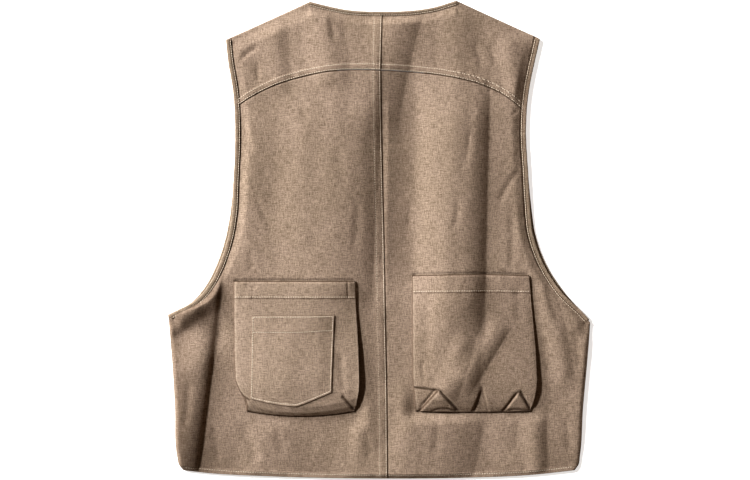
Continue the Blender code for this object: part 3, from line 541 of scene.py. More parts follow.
def colour_mixer(node):
    """Function that mixes two colours with a new node."""
    def mix(factor, first, second, blend="MIX"):
        return node("ShaderNodeMix", {0: factor, 6: first, 7: second}, data_type="RGBA", blend_type=blend)[2]
    return mix


CANVAS_SURFACE = {
    "Roughness": 0.88,
    "Specular IOR Level": 0.10,
    "Specular Tint": (1, 0.78, 0.56, 1),
    "Sheen Weight": 0.04,
    "Sheen Tint": (1, 0.80, 0.60, 1),
    "Sheen Roughness": 0.6,
}
THREAD_SPACING = 0.00075
THREAD_WANDER = 2.2
DARK_THREADS = (0.47, 0.44, 0.41, 1)
PALE_THREADS = (1.49, 1.50, 1.51, 1)
HOLLOWS = (0.10, 0.07, 0.045, 1)
# Colour of the pale wear on edges, also laid on as painted light
PALE_WEAR_AND_LIGHT = (0.56, 0.46, 0.36, 1)
# Colour of painted shade, in seam gaps, hollows, under the arm and along pocket edges
PAINTED_SHADE_COLOUR = (0.044, 0.025, 0.015, 1)


def canvas_material(name, warm, olive, seed):
    """Washed linen and cotton canvas: slubbed threads, a plain weave in relief, pale wear on its edges, and
    painted light and painted shade from a mesh attribute.
    """
    material, finish, node = new_material(name, CANVAS_SURFACE)
    mix = colour_mixer(node)
    cloth = node("ShaderNodeAttribute", {}, attribute_name="cloth")["Vector"]
    wear_and_painted_shading = node("ShaderNodeAttribute", {}, attribute_name="wear_and_painted_shading")["Fac"]

    def maths(operation, *values):
        return node("ShaderNodeMath", dict(enumerate(values)), operation=operation)[0]

    def clouds(scale, detail, offset):
        place = node("ShaderNodeMapping", {0: cloth, 1: (seed * 1.7 + offset, offset, seed), 3: scale})[0]
        grain = {"Vector": place, "Scale": 1, "Detail": detail, "Roughness": 0.6}
        return node("ShaderNodeTexNoise", grain)["Fac"]

    def stretch(value, low, high):
        return node("ShaderNodeMapRange", {"Value": value, "From Min": low, "From Max": high})[0]

    warp = clouds((800, 105, 1), 2, 0)
    weft = clouds((105, 800, 1), 2, 5)
    nubs = clouds((640, 640, 1), 3, 9)
    mottle = clouds((9, 6, 1), 3, 13)
    fade = clouds((60, 45, 1), 3, 17)

    # Threads that pass over and under
    place = node("ShaderNodeSeparateXYZ", {0: cloth})
    wander = maths("MULTIPLY", nubs, THREAD_WANDER)
    waves = [maths("MULTIPLY", place[axis], math.pi / THREAD_SPACING) for axis in (0, 1)]
    sine_x, sine_y = (maths("SINE", maths("ADD", wave, wander)) for wave in waves)
    over = maths("MULTIPLY_ADD", maths("MULTIPLY", sine_x, sine_y), 0.5, 0.5)
    threads = maths("ADD", maths("MULTIPLY", maths("ABSOLUTE", sine_x), over),
                    maths("MULTIPLY", maths("ABSOLUTE", sine_y), maths("SUBTRACT", 1, over)))
    slubs = maths("ADD", maths("ADD", warp, weft), nubs)

    base = mix(stretch(maths("ADD", mottle, maths("MULTIPLY", fade, 0.5)), 0.6, 0.9), warm, olive)
    woven = mix(stretch(slubs, 1.15, 1.85), mix(1, base, DARK_THREADS, "MULTIPLY"),
                mix(1, base, PALE_THREADS, "MULTIPLY"))
    woven = mix(maths("MULTIPLY", maths("SUBTRACT", 1, threads), 0.35), woven, HOLLOWS)
    # Positive values of the attribute mix in pale wear and painted light; negative values mix in painted
    # shade
    pale_wear_and_light_cloth = mix(maths("MULTIPLY", maths("MAXIMUM", wear_and_painted_shading, 0), 0.75), woven, PALE_WEAR_AND_LIGHT)
    painted_shade_share = maths("MAXIMUM", maths("MULTIPLY", wear_and_painted_shading, -1), 0)
    relief = maths("ADD", maths("MULTIPLY", threads, 0.45), maths("MULTIPLY", slubs, 0.55))
    bump = node("ShaderNodeBump", {"Strength": 0.7, "Distance": 0.0004, "Height": relief})
    finish({"Base Color": mix(painted_shade_share, pale_wear_and_light_cloth, PAINTED_SHADE_COLOUR), "Normal": bump[0]})
    return material


THREAD_LOW = (0.56, 0.465, 0.36, 1)
THREAD_HIGH = (0.78, 0.68, 0.55, 1)


def thread_material():
    """Cotton sewing thread, a little paler than the cloth, with its twist."""
    material, finish, node = new_material("sewing_thread", {"Roughness": 0.7, "Sheen Weight": 0.2})
    place = node("ShaderNodeTexCoord", {})["Object"]
    twist = node("ShaderNodeTexWave", {"Vector": place, "Scale": 900, "Distortion": 2},
                 bands_direction="DIAGONAL")["Fac"]
    finish({"Base Color": colour_mixer(node)(twist, THREAD_LOW, THREAD_HIGH)})
    return material


WARM = (0.336, 0.258, 0.203, 1)
OLIVE = (0.286, 0.220, 0.167, 1)
BINDING_WARM = (0.318, 0.242, 0.184, 1)
BINDING_OLIVE = (0.282, 0.226, 0.168, 1)
canvas = canvas_material("canvas", WARM, OLIVE, 1)
pocket_canvas = canvas_material("pocket_canvas", WARM, OLIVE, 4)
binding_canvas = canvas_material("binding_canvas", BINDING_WARM, BINDING_OLIVE, 7)
thread = thread_material()


# Shells

def lifted(plan, height):
    return np.concatenate((plan, height[..., None]), axis=-1)


def rework(mesh, work):
    """Do a piece of work on a mesh in the mesh editor's form."""
    form = bmesh.new()
    form.from_mesh(mesh)
    work(form)
    form.to_mesh(mesh)
    form.free()


def added(name, data, place=(0, 0, 0)):
    made = bpy.data.objects.new(name, data)
    bpy.context.scene.collection.objects.link(made)
    made.location = place
    return made


def placed(name, mesh, material):
    """The piece that shows a mesh, riding on the vest's one body."""
    mesh.update()
    mesh.shade_smooth()
    mesh.materials.append(material)
    made = added(name, mesh)
    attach(made, "root")
    return made


def shell(name, points, cloth, wear_and_painted_shading, material, wall=WALL, around=False):
    """Cloth wall under a grid of points on its outer side, with the cloth's own coordinates for its weave,
    and a value at each point for its pale wear, painted light and painted shade.
    """
    rows, columns = points.shape[:2]
    mesh = bpy.data.meshes.new(name)
    steps = {"x_segments": columns - 1, "y_segments": rows - 1}
    rework(mesh, lambda form: bmesh.ops.create_grid(form, size=1, **steps))
    mesh.vertices.foreach_set("co", (points.reshape(-1, 3) * MM).astype(np.float32).ravel())
    where = mesh.attributes.new("cloth", "FLOAT_VECTOR", "POINT")
    flat = lifted(cloth.reshape(-1, 2) * MM, np.zeros(rows * columns))
    where.data.foreach_set("vector", flat.astype(np.float32).ravel())
    wear_and_painted_light = mesh.attributes.new("wear_and_painted_shading", "FLOAT", "POINT")
    wear_and_painted_light.data.foreach_set("value", np.broadcast_to(wear_and_painted_shading, (rows, columns)).astype(np.float32).ravel())
    if around:
        rework(mesh, lambda form: bmesh.ops.remove_doubles(form, verts=form.verts, dist=0.000005))
    made = placed(name, mesh, material)
    cloth_wall = made.modifiers.new("wall", "SOLIDIFY")
    cloth_wall.thickness = wall * MM
    cloth_wall.offset = -1
    node = name.removeprefix("cloth_")
    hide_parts(node)
    return made


def side_line(side, low_y, high_y):
    y = np.linspace(low_y, high_y, 200)
    return joined(side_x(side, y), y)


def panel_edge(side, inset, front=False):
    """An armhole's edge from the underarm to the shoulder line, for a panel that ends inside its binding."""
    line = armhole(side, inset, front)[::-1]
    course = line[0] - line[4]
    corner_x = outline_x(side, line[0, 1])
    corner_y = line[0, 1] + (corner_x - line[0, 0]) * course[1] / course[0]
    inner = line[side * line[:, 0] < side * corner_x - 1]
    inner = inner[inner[:, 1] < shoulder_y(inner[:, 0]) - 1]
    top = np.array([inner[-1, 0], shoulder_y(inner[-1, 0])])
    return np.vstack(([corner_x, corner_y], inner, top))


def split_at_yoke(line):
    above = line[:, 1] > yoke_y(line[:, 0])
    return line[~above], line[above]


PANEL_INSET = 2
SEAM_CLEAR = 0.02
SIDE_NEAR = (0, 0.1, 0.35, 0.8, 1.4, 2, 3.2, 5, 6.6, 7.4, 8.4, 10)
CENTRE_NEAR = (0, 0.12, 0.35, 0.8, 1.5, 2.2, 3.4, 5, 6.8, 8.6, 9.8, 10.6, 11.2, 11.8, 12.6, 14)
HEM_NEAR = (0, 0.12, 0.35, 0.9, 1.8, 3, 4.2, 5, 5.8, 6.5, 7.1, 8, 9.6)
YOKE_NEAR = (0, 0.12, 0.35, 0.8, 1.3, 1.9, 3.2, 4.6, 6, 7, 7.7, 8.4, 9, 9.8, 11.2)
TOP_NEAR = (0, 0.3, 0.9, 2, 3.4, 5, 6.6)
SIDE_ROUND = 2
NECK_REACH = 20
FOLD_ROUND = 0.8
FRONT_SEAT = 1.7
FRONT_SHORT = 0.5
SHOULDER_SHARE = 0.45


def seam_relief(side, x, y, at_yoke=False):
    """Hem, felled seam, stitch dents and gathers of a back panel or yoke, on top of the back's height."""
    seam_off = centre_x(y) - x
    relief = pucker(y, seam_off, 11)
    if side < 0:
        relief += FELLED_BULK * band(seam_off, FELLED_WIDTH)
        relief += groove(seam_off, FELLED_STITCHES) - round_over(seam_off, FOLD_ROUND)
    else:
        relief -= 0.5 * bell(seam_off + 0.4, 1.4)
    yoke_off = y - yoke_y(x)
    if at_yoke:
        relief += SEAM_BULK * band(yoke_off, YOKE_SEAM_WIDTH)
        relief += groove(yoke_off, YOKE_STITCHES) - round_over(yoke_off, FOLD_ROUND)
        roped = smoothstep((x - 92) / 20) * smoothstep((204 - x) / 14) * smoothstep(yoke_off / 2)
        roped = roped * smoothstep((YOKE_SEAM_WIDTH + 3 - yoke_off) / 4)
        relief += 0.5 * roped * np.sin((x + 0.9 * yoke_off + 2 * noise(x / 18, y / 18, 31)) * 0.92)
        relief += pucker(x, yoke_off - 4, 21, height=0.26)
    else:
        relief += pucker(x, yoke_off, 22, height=0.26) - 1.1 * bell(yoke_off, 1.3)
        hem_off = y - hem_y(x)
        relief += SEAM_BULK * band(hem_off, HEM_DEPTH)
        relief += groove(hem_off, (HEM_STITCH,)) - round_over(hem_off, FOLD_ROUND)
        relief += pucker(x, hem_off - 4, 23, height=0.3, reach=6)
    edge_off = side * (outline_x(side, y) - x)
    below = y < UNDERARMS[side] - 6
    relief -= np.where(below, round_over(edge_off, SIDE_ROUND), 0)
    bound = np.where(below, 0, 1)
    binding_off = edge_off - ARMHOLE_BINDING_WIDTH
    sewn_in = pucker(y, binding_off, 24, height=0.34, reach=9) - 1.2 * bell(binding_off - 0.5, 1.2)
    return relief + bound * sewn_in * smoothstep(binding_off + 1.5)


def edge_wear(*offs, reach=1.3):
    """Pale wear along folded edges, from the distances to them."""
    return np.clip(sum(bell(off, reach) for off in offs), 0, 1)


def seam_shade(side, x, y):
    """Painted shade: shadow lines in the gaps of the seams and beside the armhole bindings."""
    seam_off, yoke_off = centre_x(y) - x, y - yoke_y(x)
    binding_off = side * (outline_x(side, y) - x) - ARMHOLE_BINDING_WIDTH
    above = smoothstep((y - UNDERARMS[side] + 4) / 6)
    shade = (1 if side > 0 else 0.6) * bell(seam_off, 1.3 if side > 0 else 0.4)
    shade = np.maximum(shade, 0.95 * bell(yoke_off, 1.15))
    return np.maximum(shade, (0.95 if side < 0 else 0.7) * above * bell(binding_off - 0.6, 1.2))


def line_shade(lines, x, y):
    """How deep in one of a table's lines each point lies, from 0 to 1."""
    deepest = np.zeros(np.broadcast(x, y).shape)
    for start_x, start_y, end_x, end_y, width, strength in lines:
        run_x, run_y = end_x - start_x, end_y - start_y
        t = np.clip(((x - start_x) * run_x + (y - start_y) * run_y) / (run_x ** 2 + run_y ** 2), 0, 1)
        off = np.hypot(x - start_x - t * run_x, y - start_y - t * run_y)
        deepest = np.maximum(deepest, strength * bell(off, width))
    return deepest


# Painted shade under the left arm and down that side, in the columns of POCKET_LINES
UNDERARM_SHADE = (
    (-286, -118, -224, -70, 22, 0.42),
    (-286, -118, -270, -318, 28, 0.40),
)


# How much painted shade lies over the whole yoke, how much painted light over the left pocket, and how much
# painted shade over the right one
YOKE_PAINTED_SHADE = 0.06
LEFT_POCKET_PAINTED_LIGHT = 0.08
RIGHT_POCKET_PAINTED_SHADE = -0.05


def painted_hollow_shade(z):
    """Painted shade where the cloth lies low: the lower it lies under 6.2 mm, the deeper the shade painted on
    it.
    """
    return 0.28 * smoothstep((6.2 - z) / 3.6)


def seam_row(side):
    """X of the columns on the yoke seam, which the back panel and the yoke share."""
    low_part, _ = split_at_yoke(panel_edge(side, PANEL_INSET))
    width = centre_x(YOKE_SEAM_MIDDLE) + side * SEAM_CLEAR - low_part[-1, 0]
    return low_part[-1, 0] + width * spread(abs(width), SIDE_NEAR, CENTRE_NEAR, PANEL_COLUMNS)


def back_panel(side):
    name = "cloth_back_left" if side < 0 else "cloth_back_right"
    low_part, _ = split_at_yoke(panel_edge(side, PANEL_INSET))
    corner = SIDE_CORNERS[side]
    side_part = side_line(side, SIDES[0][0], low_part[0, 1])
    shift = side * SEAM_CLEAR
    top_x = seam_row(side)
    top = joined(top_x, yoke_y(top_x) - SEAM_CLEAR)
    low_x = centre_x(SIDES[0][0]) + shift
    low_y = hem_y(low_x)
    height = top[-1, 1] - low_y
    turn = (low_part[0, 1] - low_y) / height
    up, outer = in_two(height, turn, (side_part, (low_part[:-1], top[0])),
                       ((HEM_NEAR, (0, 1, 2.2)), ((0, 1, 2.2), TOP_NEAR)),
                       (int(height * turn / CELL), int(height * (1 - turn) / CELL)))
    outer[0] = (corner, SIDES[0][0])
    centre_run = low_y + height * up
    inner = joined(centre_x(centre_run) + shift, centre_run)
    width = abs(low_x - corner)
    bottom_x = corner + (low_x - corner) * spread(width, SIDE_NEAR, CENTRE_NEAR, PANEL_COLUMNS)
    bottom = joined(bottom_x, hem_y(bottom_x))
    bottom[0] = outer[0]
    plan = panel_plan(side, bottom, top, outer, inner, up)
    x, y = plan[..., 0], plan[..., 1]
    surface = back_top(x, y) + seam_relief(side, x, y)
    seam_off = centre_x(y) - x
    offs = [y - hem_y(x) - 0.3]
    if side < 0:
        offs.append(seam_off - 0.4)
    # Painted shade in low hollows, under the left arm and down that side
    painted_underarm_and_hollow_shade = painted_hollow_shade(surface) + line_shade(UNDERARM_SHADE, x, y)
    wear_and_painted_shading = 0.15 * edge_wear(*offs) - painted_underarm_and_hollow_shade - seam_shade(side, x, y)
    made = shell(name, lifted(plan, surface), plan, wear_and_painted_shading, canvas)


def neck_edge(points, inset):
    """Fine line of a neck edge from left to right, moved in from the opening and run to the shoulders."""
    line = trace(points, FINE)
    line -= left_of(line) * inset
    ends = []
    for end, neighbour in ((line[0], line[5]), (line[-1], line[-6])):
        ahead = end + unit(end - neighbour) * np.linspace(0, NECK_REACH, 200)[:, None]
        under = ahead[:, 1] < shoulder_y(ahead[:, 0])
        ends.append(ahead[under][-1] if under[0] else end)
    return np.vstack((ends[0], line[1:-1], ends[1]))


def yoke_panel(side):
    name = "cloth_yoke_left" if side < 0 else "cloth_yoke_right"
    _, high_part = split_at_yoke(panel_edge(side, PANEL_INSET))
    bottom_x = seam_row(side)
    bottom = joined(bottom_x, yoke_y(bottom_x) + SEAM_CLEAR)
    outer_line = np.vstack((bottom[0], high_part[1:]))
    neck = neck_edge(NECK, PANEL_INSET)
    neck_corner = neck[0] if side < 0 else neck[-1]
    shift = side * SEAM_CLEAR
    high_x = centre_x(NECK_MIDDLE) + shift
    high_y = on_line(neck, high_x)
    height = high_y - bottom[-1, 1]
    up = spread(height, YOKE_NEAR, (0, 0.4, 1, 1.8, 3, 4.4, 6), int(height / CELL))
    outer = along(outer_line, up)
    centre_run = bottom[-1, 1] + height * up
    inner = joined(centre_x(centre_run) + shift, centre_run)
    tip_x = outer_line[-1, 0]
    width = abs(high_x - tip_x)
    turn = abs(neck_corner[0] - tip_x) / width
    places = spread(width, SIDE_NEAR, CENTRE_NEAR, PANEL_COLUMNS)
    at_turn = np.argmin(np.abs(places - turn))
    places = np.where(np.arange(len(places)) <= at_turn, places * turn / places[at_turn],
                      1 - (1 - places) * (1 - turn) / (1 - places[at_turn]))
    top_x = tip_x + (high_x - tip_x) * places
    on_shoulder = np.arange(len(places)) <= at_turn
    top_y = np.where(on_shoulder, shoulder_y(top_x), on_line(neck, top_x))
    top = joined(top_x, top_y)
    plan = panel_plan(side, bottom, top, outer, inner, up)
    x, y = plan[..., 0], plan[..., 1]
    surface = back_top(x, y) + seam_relief(side, x, y, at_yoke=True)
    outside_neck = (x < NECK[0][0] - 4) | (x > NECK[-1][0] + 4)
    surface -= np.where(outside_neck, round_over(np.abs(shoulder_y(x) - y) * 0.91, SIDE_ROUND), 0)
    neck_off = neck_y(x) - y - NECK_BINDING_WIDTH
    surface += pucker(x, neck_off, 25, height=0.3) - 0.5 * bell(neck_off - 0.4, 1.1)
    offs = [y - yoke_y(x) - 0.4]
    if side < 0:
        offs.append(centre_x(y) - x - 0.4)
    # Painted shade along the seams, and painted shade over the whole yoke
    shade = seam_shade(side, x, y) * smoothstep((y - yoke_y(x) - 0.3) / 0.4)
    wear_and_painted_shading = 0.15 * edge_wear(*offs) - shade - YOKE_PAINTED_SHADE
    made = shell(name, lifted(plan, surface), plan, wear_and_painted_shading, canvas)


def front_panel(side):
    name = "cloth_front_left" if side < 0 else "cloth_front_right"
    edge = panel_edge(side, PANEL_INSET, front=True)
    corner = np.array([SIDE_CORNERS[side] - side * FRONT_SEAT, SIDES[0][0] + FRONT_SHORT])
    side_part = side_line(side, SIDES[0][0] + FRONT_SHORT, edge[0, 1])
    side_part[:, 0] = side_part[:, 0] - side * FRONT_SEAT
    edge[0, 0] = edge[0, 0] - side * FRONT_SEAT
    edge[-1, 1] = edge[-1, 1] - FRONT_SEAT
    neck = neck_edge(FRONT_NECK, PANEL_INSET)
    neck[0, 1], neck[-1, 1] = neck[0, 1] - FRONT_SEAT, neck[-1, 1] - FRONT_SEAT
    middle_x = centre_x(0) + side * FRONT_OPENING / 2
    low_middle = np.array([middle_x, hem_y(middle_x) + FRONT_SHORT])
    high_middle = np.array([middle_x, on_line(neck, middle_x)])
    neck_part = neck[neck[:, 0] < middle_x] if side < 0 else neck[neck[:, 0] > middle_x][::-1]
    height = high_middle[1] - low_middle[1]
    turn = (edge[0, 1] - low_middle[1]) / height
    up, outer = in_two(height, turn, (side_part, edge),
                       (((0, 0.4, 1, 5, 6.5), (0, 2)), ((0, 2), (0, 3))), (20, 54))
    inner = joined(np.full_like(up, middle_x), low_middle[1] + height * up)
    even = ((0,), (0,))
    across, top = in_two(1, SHOULDER_SHARE, ((edge[-1], neck_part[0]), (neck_part, high_middle)),
                         (even, even), (19, 25))
    bottom_x = corner[0] + (middle_x - corner[0]) * across
    bottom = joined(bottom_x, hem_y(bottom_x) + FRONT_SHORT)
    bottom[0] = corner
    plan = panel_plan(side, bottom, top, outer, inner, up)
    flat = np.full(plan.shape[:2], FRONT_TOP)
    made = shell(name, lifted(plan, flat), plan, 0, canvas, wall=FRONT_TOP - FRONT_THIN)


# Bindings

HAIRPIN_STEPS = 9
BINDING_WALL = 0.45
FRONT_BOUND = 1.36
BOUND_SINK = 0.6


def binding_section(width):
    """Half-open section of a folded binding, from its upper sewn edge round its fold to its lower one."""
    half, rise = width / 2, 1.2
    upper = [(-half, rise - 0.30), (-half + 0.15, rise - 0.02), (-half + 0.8, rise - 0.02),
             (-half + 1.5, rise - 0.22), (-half + 2.2, rise), (0.3, rise + 0.10), (half - 1.6, rise)]
    turns = np.linspace(0.5 * math.pi, -0.5 * math.pi, 9)[1:-1]
    fold = [(half - 1.2 + 1.2 * math.cos(a), rise * math.sin(a)) for a in turns]
    lower = [(x, -z) for x, z in reversed(upper)]
    return np.array(upper + fold + lower)


def hairpin(high, low, course, out_high, out_low):
    """Points and width directions of a strip that turns down from the upper layer to the lower one."""
    middle = (high + low) / 2
    half = (high - low) / 2
    reach = np.linalg.norm(half[2])
    turns = np.linspace(0, math.pi, HAIRPIN_STEPS + 2)[1:-1]
    points = [middle + half * math.cos(turn) + course * reach * math.sin(turn) for turn in turns]
    outs = [out_high + (out_low - out_high) * turn / math.pi for turn in turns]
    return np.array(points), np.array(outs)


def strip(name, path, outs, width, closed):
    """Binding along a path; outs point across it, towards the open side."""
    ahead = np.roll(path, -1, axis=0) - np.roll(path, 1, axis=0)
    if not closed:
        ahead[0], ahead[-1] = path[1] - path[0], path[-1] - path[-2]
    ahead = unit(ahead)
    outs = unit(outs - ahead * np.sum(outs * ahead, axis=1)[:, None])
    normals = np.cross(ahead, outs)
    run = run_along(path)
    section = binding_section(width)
    across_run = run_along(section)
    rumple = 0.16 * noise(run / 9, run * 0, 41) + 0.10 * noise(run / 3.6, run * 0, 43)
    out_lift = np.abs(section[:, 0] / width - 0.5)
    points = (path[:, None] + outs[:, None] * (section[None, :, 0] + rumple[:, None] * 0.7)[..., None]
              + normals[:, None] * (section[None, :, 1] * (1 + 0.25 * rumple[:, None] * out_lift))[..., None])
    cloth = joined(across_run[None, :], run[:, None])
    if closed:
        points = np.vstack((points, points[:1]))
        cloth = np.vstack((cloth, cloth[:1] + (0, 1)))
    wear_and_painted_shading = 0.55 * edge_wear(section[:, 0] + width / 2 - 0.6, reach=0.5)
    wear_and_painted_shading = wear_and_painted_shading + 0.2 * bell(section[:, 0] - width / 2, 1.2)
    # Painted shadow line 1.5 mm in from the binding's sewn edge
    wear_and_painted_shading = wear_and_painted_shading - 1.1 * bell(section[:, 0] + width / 2 - 1.5, 0.62)
    return shell(name, points[:, ::-1], cloth[:, ::-1], np.broadcast_to(wear_and_painted_shading[None, ::-1], points.shape[:2]),
                 binding_canvas, wall=BINDING_WALL, around=closed)


def armhole_paths(side):
    """Centre lines and width directions of the two layers of an armhole's binding."""
    half = ARMHOLE_BINDING_WIDTH / 2
    layers = []
    for front in (False, True):
        line = armhole(side, half, front)
        start = np.argmax(line[:, 1] < shoulder_y(line[:, 0]) - 3.2)
        line = line[start:]
        line = line[np.abs(line[:, 0]) < 286]
        line = along(line, np.linspace(0, 1, 260))
        out = left_of(line) * (-1 if side < 0 else 1)
        layers.append((line, lifted(out, np.zeros(len(out)))))
    return layers


def armhole_binding(side):
    name = "cloth_armhole_binding_left" if side < 0 else "cloth_armhole_binding_right"
    (back, back_out), (front, front_out) = armhole_paths(side)
    back = lifted(back, back_top(back[:, 0], back[:, 1]) - BOUND_SINK)
    front = lifted(front, np.full(len(front), FRONT_BOUND))
    down, up = unit(back[-1] - back[-2]), unit(back[0] - back[1])
    underarm, underarm_out = hairpin(back[-1], front[-1], down * (1, 1, 0), back_out[-1], front_out[-1])
    shoulder, shoulder_out = hairpin(back[0], front[0], up * (1, 1, 0), back_out[0], front_out[0])
    path = np.vstack((back, underarm, front[::-1], shoulder[::-1]))
    outs = np.vstack((back_out, underarm_out, front_out[::-1], shoulder_out[::-1]))
    if side > 0:
        path, outs = path[::-1], outs[::-1]
    made = strip(name, path, outs, ARMHOLE_BINDING_WIDTH, True)
    round(length_of(path) * MM, 3)
    return back, back_out


def neck_binding():
    half = NECK_BINDING_WIDTH / 2
    back = along(neck_edge(NECK, half), np.linspace(0.022, 0.978, 150))
    back_out = lifted(left_of(back), np.zeros(150))
    back = lifted(back, back_top(back[:, 0], back[:, 1]) - BOUND_SINK)
    line = neck_edge(FRONT_NECK, half)
    middle = centre_x(0)
    stretches = []
    for side in (-1, 1):
        part = line[side * (line[:, 0] - middle) > FRONT_OPENING / 2]
        part = along(part, np.linspace(0.02, 1, 90) if side < 0 else np.linspace(0, 0.98, 90))
        out = lifted(left_of(part), np.zeros(90))
        stretches.append((lifted(part, np.full(90, FRONT_BOUND)), out))
    (left, left_out), (right, right_out) = stretches
    right_end = right[-1]
    left_course = back[0] - back[1] + left[0] - left[1]
    right_course = back[-1] - back[-2] + right_end - right[-2]
    left_course, right_course = unit(left_course * (1, 1, 0)), unit(right_course * (1, 1, 0))
    left_turn, left_turn_out = hairpin(back[0], left[0], left_course, back_out[0], left_out[0])
    right_turn, right_turn_out = hairpin(back[-1], right_end, right_course, back_out[-1], right_out[-1])
    path = np.vstack((left[::-1], left_turn[::-1], back, right_turn, right[::-1]))
    outs = np.vstack((left_out[::-1], left_turn_out[::-1], back_out, right_turn_out, right_out[::-1]))
    made = strip("cloth_neck_binding", path, outs, NECK_BINDING_WIDTH, False)
    round(length_of(path) * MM, 3)
    return back, back_out


# Pockets

def pocket_row(rows, height, column):
    table = np.array(rows)[::-1]
    return np.interp(height, table[:, 0], table[:, column])


def beyond(x, y, start, end):
    """Distance to the right of a line from start to end."""
    run = np.array(end, float) - np.array(start, float)
    return ((x - start[0]) * run[1] - (y - start[1]) * run[0]) / np.hypot(*run)


# Sharp lines of the pockets' corners and hems, dented and painted with shade. Columns: start x, start y, end
# x, end y, half width, strength
POCKET_LINES = (
    (79, -208.4, 53.1, -238, 1.5, 1),
    (84, -208.4, 107.6, -235.3, 1.2, 0.8),
    (46.2, -203.4, 80.7, -206.6, 1.2, 0.8),
    (72, -236, 80, -233, 1.1, 0.8),
    (80, -233, 92, -232.2, 1.2, 0.8),
    (92, -232.2, 105, -236, 1.3, 0.9),
    (193.9, -208.4, 207.7, -235.3, 1.3, 1),
    (190.4, -209.4, 169.7, -235.3, 1.2, 0.4),
    (173, -236, 186, -233.4, 1.2, 0.7),
    (186, -233.4, 207, -235.6, 1.1, 0.8),
    (140, -203, 130, -236, 1.8, 0.5),
    (140, -203, 149, -236, 1.4, 0.6),
    (-201, -206.4, -178.7, -220.2, 1.2, 0.8),
    (-183.3, -222.6, -186, -235, 1.6, 0.9),
    (-50, -216, -32.4, -236.7, 1.7, 1),
    (-44.2, -56, -43.6, -79.4, 0.8, 0.5),
)
LINE_DEPTH = 1.7

# Boxed corners of the right pocket: each is a small tent of cloth, from its apex to the two ends of its foot
LEFT_TENT = ((79.5, -206), (51.8, -239), (108.5, -236))
RIGHT_TENT = ((190.5, -210.5), (171, -238), (208.5, -233.5))
PLEAT = ((142.5, -200), (129, -230), (150.5, -240))
LEFT_CORNER_CREASE = ((45, -201), (79.5, -206))


def tent(x, y, corners, proud, dent):
    """Drop of the face at a tent: the tent stands proud of a dent on its left and of a step on its right."""
    apex, left_foot, right_foot = corners
    inside_left = beyond(x, y, left_foot, apex)
    inside_right = -beyond(x, y, right_foot, apex)
    below = smoothstep((apex[1] + 2 - y) / 5)
    rise = smoothstep(inside_left / 2.2 + 0.5) * smoothstep(inside_right / 1.6 + 0.5)
    left_dent = bell(inside_left + 1.6, 1.5)
    right_dent = bell(inside_right + 1.3, 1.6) + 0.5 * smoothstep(-inside_right / 2) * np.exp(
        inside_right / 9)
    return below * (dent * np.maximum(left_dent, right_dent) - proud * rise)


def pocket_drop(x, y):
    """How far the cloth falls away at the boxed corners and the small pleat of the right pocket."""
    drop = tent(x, y, LEFT_TENT, 0.6, 2.2) + tent(x, y, RIGHT_TENT, 0.5, 1.8)
    under_crease = beyond(x, y, *LEFT_CORNER_CREASE)
    beside_tent = -beyond(x, y, LEFT_TENT[1], LEFT_TENT[0])
    drop += 2.2 * smoothstep(under_crease / 3) * smoothstep(beside_tent / 3)
    pleat_left = beyond(x, y, PLEAT[1], PLEAT[0])
    pleat_right = -beyond(x, y, PLEAT[2], PLEAT[0])
    return drop + 2.4 * smoothstep(pleat_left / 2 + 0.3) * smoothstep(pleat_right / 9 + 0.2)


def pocket_point(rows, x, height, rise_share=1):
    """Point on a pocket: x, then y with the sag of its cross-section, then the face's or a wall's height."""
    left, right, _, left_rise, right_rise, bulge, sag = (
        pocket_row(rows, height, column) for column in range(2, 9))
    share = np.clip((x - left) / (right - left), 0, 1)
    middle = 1 - (2 * share - 1) ** 2
    y = height - sag * middle
    rise = left_rise + (right_rise - left_rise) * share + bulge * np.sqrt(middle)
    foot = POCKET_SEAT - (POCKET_SEAT - GAP) * smoothstep(left_rise / FOOT_RISE)
    fold = fold_depth(POCKET_FOLDS, x, y) - 0.5 * unevenness(x * 1.3 + 400, y * 1.2)
    if rows is POCKET_RIGHT:
        fold = fold + pocket_drop(x, y)
    rise -= np.minimum(fold, MOST_FOLD * rise)
    below_mouth = rows[0][0] - height
    rise += SEAM_BULK * band(below_mouth, POCKET_HEM)
    rise += groove(below_mouth, (POCKET_STITCH,))
    rise += pucker(x, below_mouth - POCKET_STITCH, 51, height=0.3)
    rise -= 0.6 * round_over(below_mouth, FOLD_ROUND)
    rise -= LINE_DEPTH * line_shade(POCKET_LINES, x, y)
    seam_off = height - rows[-1][0]
    z = back_top(x, y) + foot + (POCKET_SEAT + rise - foot) * rise_share
    z = z + pucker(x, seam_off, 52, height=0.35, reach=5) * smoothstep(seam_off / 2)
    return joined(x, y, z)


